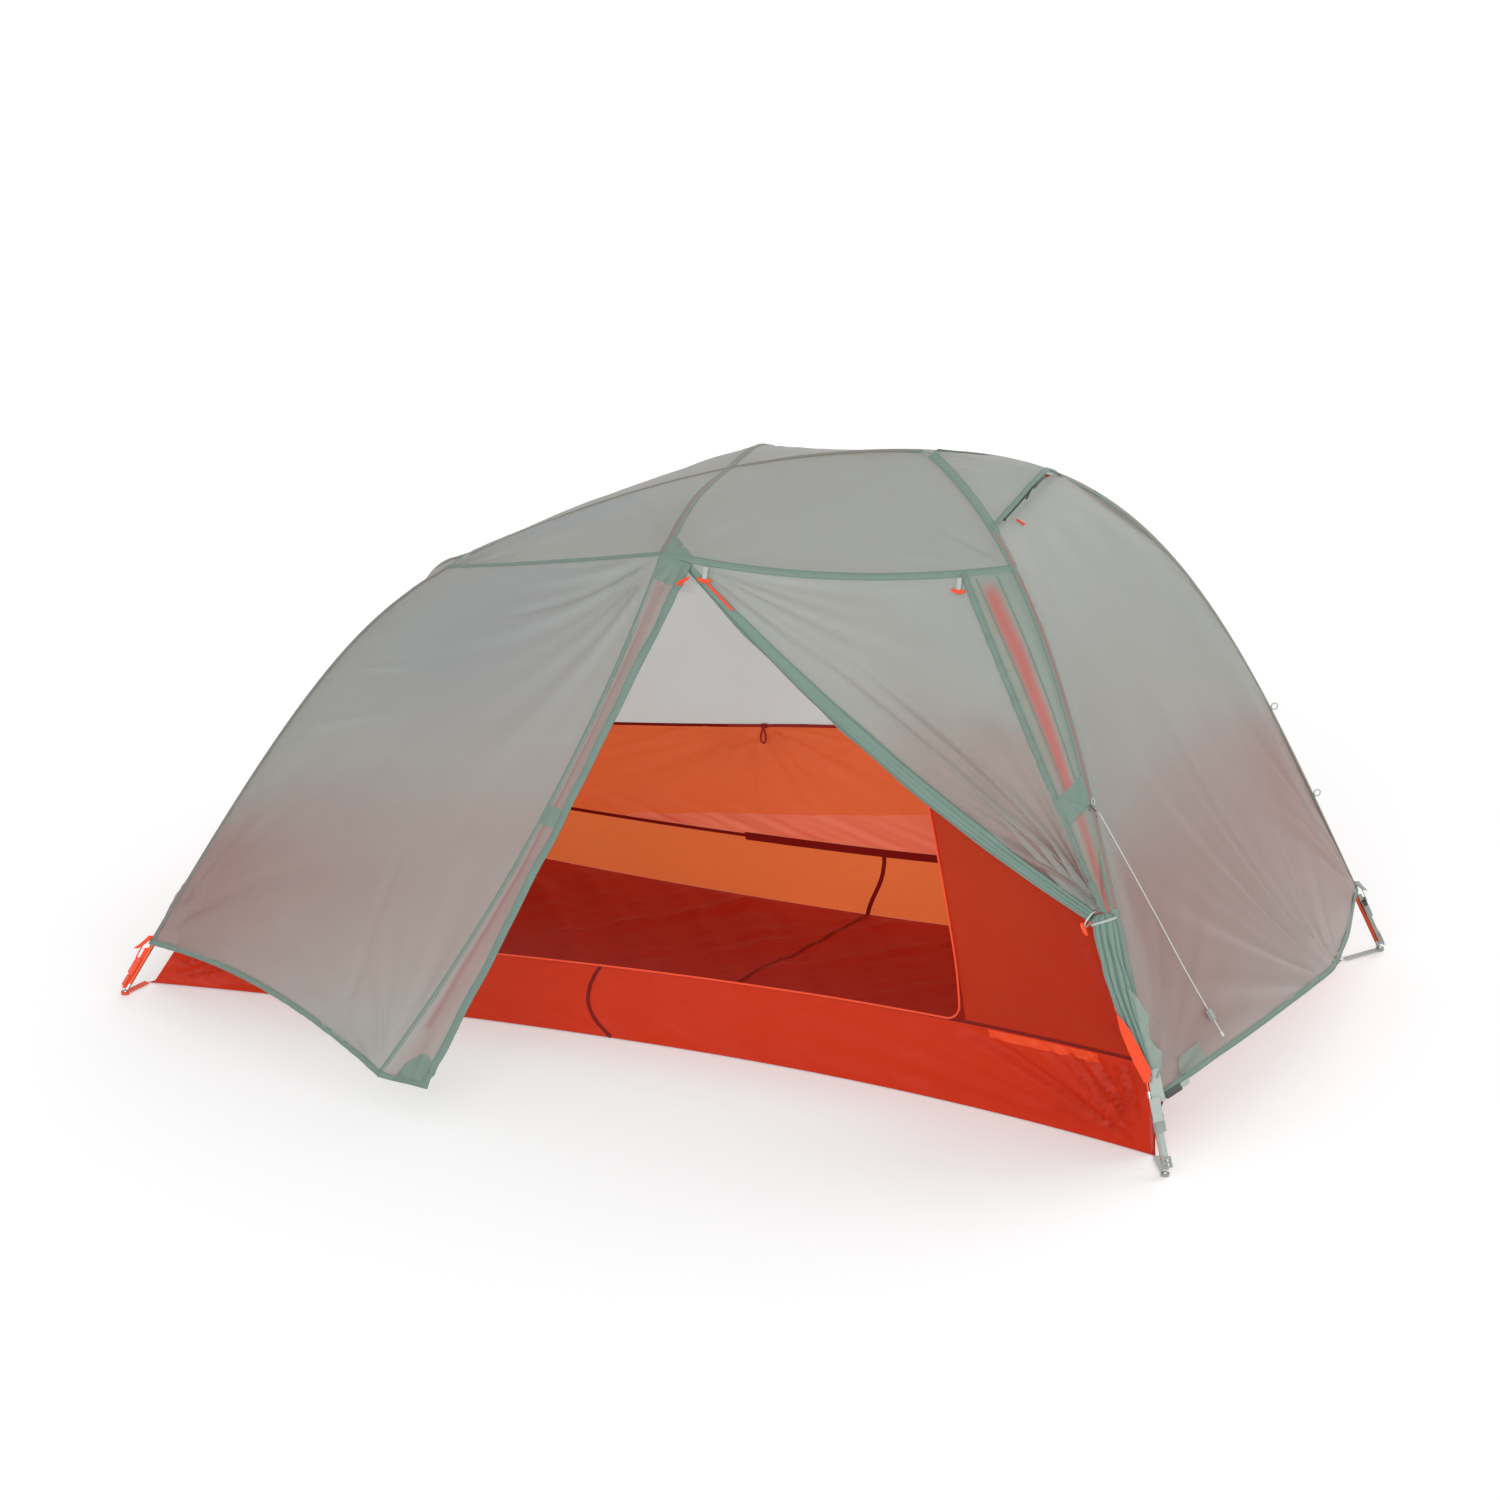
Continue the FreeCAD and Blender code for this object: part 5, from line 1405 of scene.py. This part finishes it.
# Under the hood: the raised lip of the opening, the stiffener inside the rim and a tab.
LIP_HEIGHT = 0.020
vent_base = edge_of("fly_head_end", v=0.0)
vent_share = np.linspace(0, 1, 80)
lip_rise = column(LIP_HEIGHT * np.sin(math.pi * vent_share) ** 0.6)
tape_piece("vent_lip", np.stack([vent_base(vent_share) + place(-0.3, 0, 1) * lip_rise * share
                                 for share in (-0.2, 0.2, 0.6, 1)], 1), fly_cloth)
rim = edge_of("fly_vent_hood", v=0.99, low=0.09, high=0.41)
rod_piece("hood_stiffener", moved(rim, (0.001, 0, -0.009)),
          lambda s: 0.0020 + 0.0018 * (s < 0.05), dark_plastic)
peak = edge_of("fly_vent_hood", v=0.97, low=0.40, high=0.58)(np.linspace(0, 1, 12))
tape_piece("hood_stay_patch", np.stack([peak + place(0.001, 0, -drop)
                                        for drop in (0.006, 0.013, 0.020)], 1), dark_tape)
head_panel = fly["fly_head_end"]
tab_ends = [head_panel(*share) + head_panel.normal(*share) * 0.003
            for share in (np.array((0.263, 0.013)), np.array((0.303, 0.039)))]
rod_piece("head_end_tab", straight(*tab_ends), even(0.0022), bright_orange)

# Patches: the doubled cloth over the brow pole's tip, the flap and strip tabs, the stake corner.


def box_outline(u_low, u_high, v_low, v_high):
    return lambda a, b: (between(u_low, u_high, a), between(v_low, v_high, b))


plate("brow_patch_front", fly["vestibule_front_flap"], box_outline(0.02, 0.98, 0.0, 0.045),
      fly_double)
plate("brow_patch_roof", fly["fly_roof_front"], lambda a, b: (0.10 * a * b, 1 - 0.13 * (1 - b)),
      fly_double)
plate("flap_patch_front", fly["vestibule_front_flap"], box_outline(0.03, 0.97, 0.47, 0.505),
      fly_double)
plate("strip_patch_front", fly["vestibule_front_strip"], box_outline(0.05, 0.97, 0.665, 0.745),
      fly_tape, lift=LIFT * 2.2)
plate("head_hem_patch", fly["fly_head_end"], box_outline(0.072, 0.142, 0.972, 0.999),
      fly_strip, lift=LIFT * 3.6)


def half_round(a, b):
    """A half-round patch round the grommet in the flap's staked corner."""
    reach = 0.058 * np.sqrt(np.maximum(1 - (2 * a - 1) ** 2, 0))
    return 0.30 + 0.66 * a, 1 - reach * (1 - b)


plate("stake_patch_front", fly["vestibule_front_flap"], half_round, fly_double, lift=LIFT * 1.2)
plate("stake_patch_rear", fly["vestibule_rear_flap"], half_round, fly_double, lift=LIFT * 1.2)

# The front door: its rolled edge, the loose fold under it and the bunch below the tie.


def roll_radius(s):
    return 0.004 + 0.017 * np.sin(math.pi * np.minimum(s * 0.80 + 0.02, 1)) ** 0.8


def rolled_edge(s):
    return roll_line(s) + place(-0.004, 0.002, -1.0) * column(roll_radius(s) * 0.85)


def grooves(turn, s, count, depth, seed):
    """Narrow valleys between pleats, as far in as depth, that wander along the bunch."""
    drift = 0.8 * ripple(s * 2.2, seed) + 0.35 * ripple(s * 7 + turn, seed + 1)
    return depth * (1 - np.abs(np.sin(turn * count / 2 + drift))) ** 1.6


def pleated_roll(s):
    """A rolled sheet whose outer layer draws into pleats towards the tie."""
    turn = np.linspace(0, 1, 70)[None, :] * 1.45 * 2 * math.pi
    reach = roll_radius(s) * (1 - 0.036 * turn) * (1 + 0.05 * ripple(s * 16 + turn, 152))
    reach = reach - grooves(turn, s, 9, 0.001 + 0.006 * s ** 2, 155)
    return reach * np.cos(turn), reach * np.sin(turn)


def door_gathers(name, line, section, count, hint, material=fly_gathered_shaded):
    gathered_piece(name, line, section, count, hint, material,
                   ["vestibule_front_door_gathers"])


door_gathers("front_door_rolled_edge", rolled_edge, pleated_roll, 120, UP)


def loose_fold(s):
    """A limp layer that hangs out of the roll and curls under it."""
    share = np.linspace(0, 1, 14)[None, :]
    reach = (0.006 + 0.024 * np.sin(math.pi * s) ** 0.7) * (1 + 0.12 * ripple(s * 17, 153))
    return 0.004 - reach * share, -0.006 * np.sin(share * math.pi * 1.2) - 0.004 * share


door_gathers("front_door_loose_fold", moved(roll_line, (-0.006, 0.004, -0.012)), loose_fold, 90,
             UP)

bunch_offsets = np.array([ACROSS * across + OUTWARD * out for across, out in
                          ((-0.026, 0.012), (-0.034, 0.018), (-0.016, 0.016), (0.005, 0.014))])


def bunch_line(s):
    """Down the leg from the tie, beside it at first and over it at the bottom."""
    s = np.asarray(s, float)
    return outside(head_leg, TIE_SHARE + 0.158 * s, FLY_GAP) + bezier(bunch_offsets, s)


def gathers(half_width, half_thick, count, depth, seed):
    """The section of drawn-together cloth: an oval cut by narrow valleys."""
    turn = np.linspace(0.03, 0.97, count * 13)[None, :] * 2 * math.pi

    def section(s):
        cut = grooves(turn, s, count, depth, seed) * (0.5 + 0.5 * np.minimum(s * 6, 1))
        full = 1 + 0.05 * ripple(s * 13 + turn * 2, seed + 3)
        return ((half_width(s) * full - cut) * np.cos(turn),
                (half_thick(s) * full - cut) * np.sin(turn))
    return section


def bunch_width(s):
    return np.interp(s, (0, 0.03, 0.12, 0.45, 0.75, 0.9, 1),
                     (0.010, 0.022, 0.025, 0.023, 0.017, 0.012, 0.006))


def bunch_thick(s):
    return np.interp(s, (0, 0.03, 0.12, 0.6, 1), (0.002, 0.008, 0.011, 0.010, 0.004))


door_gathers("front_door_bunch", bunch_line, gathers(bunch_width, bunch_thick, 9, 0.0075, 161),
             110, ACROSS)


def frill_section(s):
    """A free hem of the bunched cloth that stands off it in two soft lobes."""
    share = np.linspace(0, 1, 18)[None, :]
    lobes = np.interp(s, (0, 0.12, 0.35, 0.52, 0.60, 0.78, 0.90, 1),
                      (0.002, 0.020, 0.030, 0.022, 0.016, 0.032, 0.024, 0.004))
    wave = ripple(s * 12 + share * 1.5, 171)
    return (lobes * share * (1 + 0.08 * wave), 0.005 * share * wave + 0.004 * share)


def frill_line(s):
    return bunch_line(0.46 + 0.52 * s) + ACROSS * 0.009 + OUTWARD * 0.002


door_gathers("front_door_frill", frill_line, frill_section, 110, ACROSS, fly_strip)

# Fans of cloth above the tie, where the door is drawn together.
for number, (u, reach) in enumerate(((0.10, 0.30), (0.45, 0.26), (0.8, 0.22)), start=1):
    start = tied_door(np.array(u), np.array(0.985)) + place(-0.002, -0.006, 0)
    end = tied_door(np.array(0.35 + 0.5 * u), np.array(1 - reach)) + place(0, -0.004, 0)

    def fold_section(s, number=number):
        turn = np.linspace(0.1, 0.9, 12)[None, :] * math.pi
        width = (0.011 * (1 - s) + 0.003) * (1 + 0.1 * ripple(s * 9, 180 + number))
        return width * np.cos(turn), 0.7 * width * np.sin(turn) * (1 - s) ** 0.6
    door_gathers(f"front_door_fold_{number}", straight(start, end, (0.004, -0.006, 0)),
                 fold_section, 40, (1, 0, 0.4), fly_cloth)

# ---------------------------------------------------------------- toggles, pulls and cord

TOGGLE_SPAN = 0.032
TOGGLE_DROP = 0.024
TOGGLE_RADIUS = 0.0045
TOGGLE_TAPE = 0.0048
lean = unit(place(0, -0.36, -0.93))
for name, share in (("door_toggle_left", 0.14), ("door_toggle_right", 0.86)):
    top = door_seam(share) + place(0, -0.017, -0.003)
    low = top + lean * (TOGGLE_DROP + 0.002)
    hang = straight(top, low)(np.linspace(0, 1, 12))
    tape = [hang + place(x, -0.0006 - 0.001 * (1 - abs(x) * 180), 0)
            for x in (-TOGGLE_TAPE, -TOGGLE_TAPE / 2, 0, TOGGLE_TAPE / 2, TOGGLE_TAPE)]
    strap = tape_piece(name + "_tape", np.stack(tape, 1), grey_webbing, name)
    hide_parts(name)
    middle = top + lean * (TOGGLE_DROP + TOGGLE_RADIUS - 0.001)
    bar_line = straight(middle + place(-TOGGLE_SPAN / 2, 0, 0.002),
                        middle + place(TOGGLE_SPAN / 2, 0, 0.002), (0, 0, -0.004))
    bar = rod_piece(name + "_bar", bar_line, rounded(TOGGLE_RADIUS * 0.95), orange_plastic,
                    name, flat=1.5, hint=(0, 0, 1))
    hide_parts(name)

TIE_RADIUS = 0.019
tie_centre = tie_point + place(-0.019, -0.005, -0.011)
tie_hang = tie_centre + place(-0.004, -TIE_RADIUS - 0.009, -0.006)
tie_bar = rod_piece("door_tie_toggle_bar", straight(tie_hang - UP * 0.020 + ACROSS * 0.009,
                                                    tie_hang + UP * 0.009 - ACROSS * 0.005,
                                                    (0, -0.002, 0)),
                    rounded(0.0042), orange_plastic, "door_tie_toggle", flat=1.3,
                    hint=(1, 0, 0))
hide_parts("door_tie_toggle")


def middle_and_size(name):
    """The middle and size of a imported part's box."""
    low, high = (np.asarray(corner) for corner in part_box(name))
    return (low + high) / 2, high - low


rear_pull_middle, rear_pull_size = middle_and_size("rear_door_pull")
rear_pull_top = rear_pull_middle + UP * rear_pull_size[2] / 2
PULL_DROP = 0.036
PULL_BREADTH = 0.008


def rear_pull_line(s):
    """A teardrop loop of thin tape that hangs from the zip slider."""
    turn = 2 * math.pi * s
    out = PULL_BREADTH * np.sin(turn) * np.sin(turn / 2) ** 1.2
    return (rear_pull_top + place(1, 0, 0) * column(out)
            - UP * column(PULL_DROP * (1 - np.cos(turn)) / 2))


rear_pull = rod_piece("rear_door_pull_loop", rear_pull_line, even(0.0014), red_webbing,
                      "rear_door_pull", sides=8, count=40, flat=1.6, hint=(0, 1, 0))
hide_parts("rear_door_pull")

tape_piece("door_start_strip", edge_strip(part_line(rolled_edge, 0.055, 0.125),
                                          OUTWARD * 0.015 + UP * 0.006, 0.006, (0.4, 0, 1)),
           orange_webbing)
door_pull_top = middle_and_size("fly_door_pull")[0] + ACROSS * 0.012
for number, (shift, drop) in enumerate(((0.0, -0.016), (0.004, -0.024)), start=1):
    tail_end = door_pull_top + ACROSS * (shift - 0.028) + UP * drop
    rows = edge_strip(straight(door_pull_top, tail_end, (0, -0.003, 0.003)), 0 * UP, 0.007,
                      (0.3, 0, 1), 12)
    pull = tape_piece(f"fly_door_pull_tail_{number}", rows, orange_webbing,
                      "fly_door_pull")
    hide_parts("fly_door_pull")

# The fittings round the bunch and the head-front corner.
BAND_WIDTH = 0.0268
BAND_THICK = 0.0125
BAND_TILT = 0.009
turn = np.linspace(0, 2 * math.pi, 49)
band = (bunch_line(0.05) + ACROSS * column(BAND_WIDTH * np.cos(turn))
        + OUTWARD * column(BAND_THICK * np.sin(turn)) + UP * column(BAND_TILT * np.cos(turn)))
tape_piece("door_tie_band", np.stack([band + UP * height for height in (-0.003, 0, 0.003)], 1),
           grey_webbing)
tape_piece("door_leg_fold", edge_strip(fly_leg(head_leg, TIE_SHARE - 0.004, TIE_SHARE + 0.10),
                                       OUTWARD * 0.004 - ACROSS * 0.004, 0.020, ACROSS, 60),
           fly_gathered_shaded)
corner_run = np.linspace(0.62, 1.0, 40)
pull_inset = np.interp(corner_run, (0.62, 0.70, 0.82, 1), (-0.004, -0.009, -0.0105, -0.010))
pull_breadth = column(np.interp(corner_run, (0.62, 0.70, 0.82, 0.93, 1),
                                (0.004, 0.020, 0.027, 0.028, 0.012)))
pull_left = (bunch_line(corner_run) + OUTWARD * 0.014
             + ACROSS * column(pull_inset - bunch_width(corner_run)))
tape_piece("inner_corner_pull", np.stack(
    [pull_left + ACROSS * pull_breadth * share + OUTWARD * 0.004 * math.sin(math.pi * share)
     for share in (0, 0.25, 0.5, 0.75, 1)], 1), orange_webbing)
for number, (low, high, shift, breadth) in enumerate(((0.912, 0.940, 0.012, 0.026),
                                                      (0.936, 0.956, 0.004, 0.022)), start=1):
    tape_piece(f"corner_cloth_{number}", edge_strip(
        fly_leg(head_leg, low, high), OUTWARD * (0.014 + 0.003 * number) + ACROSS * shift,
        breadth, ACROSS + UP * 0.3, 12), grey_webbing)
tape_piece("head_hem_strap", edge_strip(edge_of("fly_head_end", v=1.0, low=0.008, high=0.088),
                                        OUTWARD * 0.004 - UP * 0.006, 0.014, UP), grey_webbing)
rod_piece("head_hem_buckle", moved(edge_of("fly_head_end", v=1.0, low=0.030, high=0.066),
                                   OUTWARD * 0.007 - UP * 0.006), even(0.0035),
          dark_plastic, flat=2.2, hint=OUTWARD)
tape_piece("inner_corner_webbing", on_panel(Panel(inner_side), winding(
    [(0.976, 0.905), (0.980, 0.94), (0.985, 0.97), (0.995, 0.999)]), 0.020, 30, LIFT * 3),
           orange_webbing)

# Straps of the corners: from the hem down to the buckle, and beside the pole to the ground.
STRAP_BREADTH = 0.012
BUCKLE_TOP = UP * 0.034
CORNERS = {"head": (head_leg, HEM_HEAD, grey_webbing), "foot": (foot_leg, HEM_FOOT, orange_webbing)}
for end, (leg, hem_share, material) in CORNERS.items():
    for side in ("front", "rear"):
        body = f"corner_buckle_{end}_{side}"
        top = outside(leg, hem_share - 0.008, FLY_GAP + 0.006)
        sides = [outside(leg, share, FLY_GAP * 0.9) for share in (hem_share + 0.004, 0.996)]
        if side == "rear":
            top, *sides = (point * FLIP for point in (top, *sides))
        straps = ((top, middle_and_size(body)[0] + BUCKLE_TOP, body), (*sides, "root"))
        for number, (start, finish, rides) in enumerate(straps, start=1):
            rows = edge_strip(straight(start, finish, (0, 0, -0.002)), 0 * UP, STRAP_BREADTH,
                              ACROSS, 16)
            tape_piece(f"corner_strap_{end}_{side}_{number}", rows, material,
                       rides)

# The guyline: from its loop on the leg, down over the head-end cloth, to the knot at its adjuster.
GUYLINE_ROUTE = [
    (0.946, -0.441, 0.684), (0.984, -0.419, 0.600), (1.034, -0.397, 0.496),
    (1.079, -0.389, 0.412), (1.130, -0.385, 0.321), (1.198, -0.377, 0.210),
]
GUYLINE_RADIUS = 0.0012
for number, (start, finish) in enumerate((((-0.021, 0.016), (-0.006, 0.003)),
                                         ((-0.022, 0.008), (-0.004, -0.009))), start=1):
    ends = [place(*GUYLINE_ROUTE[0]) + ACROSS * across + UP * rise + OUTWARD * 0.004
            for across, rise in (start, finish)]
    rod_piece(f"guyline_clip_{number}", straight(*ends), even(0.0014),
              dark_plastic)
curve = bpy.data.curves.new("guyline_cord", "CURVE")
curve.dimensions = "3D"
spline = curve.splines.new("NURBS")
spline.points.add(len(GUYLINE_ROUTE) - 1)
for point, where in zip(spline.points, GUYLINE_ROUTE):
    point.co = (*where, 1.0)
spline.order_u = 3
spline.use_endpoint_u = True
curve.bevel_depth = GUYLINE_RADIUS
curve.bevel_resolution = 4
curve.resolution_u = 24
curve.materials.append(pale_cord)
guyline = add_object("guyline_cord", curve)
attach(guyline, "root")
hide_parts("guyline")
knot_line = straight(place(*GUYLINE_ROUTE[-1]) + place(-0.004, 0, 0.005),
                     place(*GUYLINE_ROUTE[-1]) + place(0.003, 0, -0.005))
knot = rod_piece("guyline_knot", knot_line, rounded(0.0032), pale_cord)
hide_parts("guyline")

# ---------------------------------------------------------------- finishes of the CAD parts

finishes = {
    pole_orange: ["ridge_pole", "brow_pole", "head_leg_pole_front", "head_leg_pole_rear",
                  "foot_leg_pole_front", "foot_leg_pole_rear"],
    satin_metal: ["pole_ferrules", "stake_grommets"],
    dark_plastic: ["head_hub", "foot_hub", "brow_saddle", "vent_stay", "corner_buckle_head_front",
                   "corner_buckle_head_rear"],
    grey_plastic: ["pole_clips", "line_lok"],
    lock_plastic: ["corner_buckle_sockets", "corner_locks_and_cups"],
    orange_plastic: ["corner_buckle_foot_front", "corner_buckle_foot_rear"],
    corner_webbing: ["corner_webbing"],
    grey_webbing: ["guy_out_loops"],
    pale_cord: ["door_tie_loop", "pole_shock_cords"],
    red_webbing: ["rear_door_zip"],
    red_metal: ["rear_door_slider"],
    orange_webbing: ["doorway_piping"],
}
for material, names in finishes.items():
    for name in names:
        nodes[name].data.materials.clear()
        nodes[name].data.materials.append(material)

# ---------------------------------------------------------------- camera, light and floor

SENSOR = 36
FOCAL_SHARE = 9.395
YAW = math.radians(21.98)
PITCH = math.radians(21.71)
ROLL = math.radians(0.19)
EYE = Vector((10.2574, -25.4139, 11.4268))

camera = add_object("camera", bpy.data.cameras.new("camera"))
forward = Vector((-math.sin(YAW) * math.cos(PITCH), math.cos(YAW) * math.cos(PITCH),
                  -math.sin(PITCH)))
level = Vector((math.cos(YAW), math.sin(YAW), 0))
upright = level.cross(forward)
right = level * math.cos(ROLL) + upright * math.sin(ROLL)
above = upright * math.cos(ROLL) - level * math.sin(ROLL)
camera.matrix_world = Matrix((
    *[(right[i], above[i], -forward[i], EYE[i]) for i in range(3)], (0, 0, 0, 1)))
camera.data.sensor_width = SENSOR
camera.data.lens = SENSOR * FOCAL_SHARE
camera.data.clip_end = 200
bpy.context.scene.camera = camera


def sun(name, azimuth, elevation, strength, spread, colour=(1, 1, 1)):
    """A soft sun; its azimuth turns from the front towards the head end."""
    lamp = bpy.data.lights.new(name, "SUN")
    lamp.energy = strength
    lamp.angle = math.radians(spread)
    lamp.color = colour
    item = add_object(name, lamp)
    a, e = math.radians(azimuth), math.radians(elevation)
    toward = Vector((math.sin(a) * math.cos(e), -math.cos(a) * math.cos(e), math.sin(e)))
    item.rotation_mode = "QUATERNION"
    item.rotation_quaternion = toward.to_track_quat("Z", "Y")


sun("key_light", 8, 18, 1.42, 50, (0.98, 0.99, 1.0))
sun("head_fill", 75, 16, 0.45, 60)
sun("back_light", 165, 37, 1.35, 60)

# A plain world; the camera and the gloss see it brighter than it lights the cloth.
WORLD_LIGHT = 0.70
graph = Graph(bpy.data.worlds.new("world"))
rays = graph.add("ShaderNodeLightPath").outputs
seen = graph.math("MAXIMUM", rays["Is Camera Ray"], rays["Is Glossy Ray"])
strength = graph.add("ShaderNodeMapRange", Value=seen, To_Min=WORLD_LIGHT, To_Max=1.0)
backdrop = graph.add("ShaderNodeBackground", Strength=strength.outputs[0])
bpy.context.scene.world = graph.finish(backdrop.outputs[0], "ShaderNodeOutputWorld")

GROUND_REACH = 60.0
GROUND_DROP = 0.001
ground_mesh = bpy.data.meshes.new("ground")
ground_mesh.from_pydata([(x * GROUND_REACH, y * GROUND_REACH, -GROUND_DROP)
                         for x, y in ((-1, -1), (1, -1), (1, 1), (-1, 1))], [], [(0, 1, 2, 3)])
ground = add_object("ground", ground_mesh)
graph = material_graph("ground_pale")
base = graph.add("ShaderNodeBsdfDiffuse", Color=(0.82, 0.82, 0.82, 1))
glowing = graph.add("ShaderNodeEmission", Color=(1, 1, 1, 1), Strength=0.24)
black = graph.add("ShaderNodeEmission", Color=(0, 0, 0, 1), Strength=0.0)
from_camera = graph.add("ShaderNodeLightPath").outputs["Is Camera Ray"]
both = graph.add("ShaderNodeAddShader")
graph.feed(both, "0", base.outputs[0])
graph.feed(both, "1", graph.mix(from_camera, black.outputs[0], glowing.outputs[0]))
ground.data.materials.append(graph.finish(both.outputs[0]))
bpy.context.scene.view_settings.view_transform = "Standard"
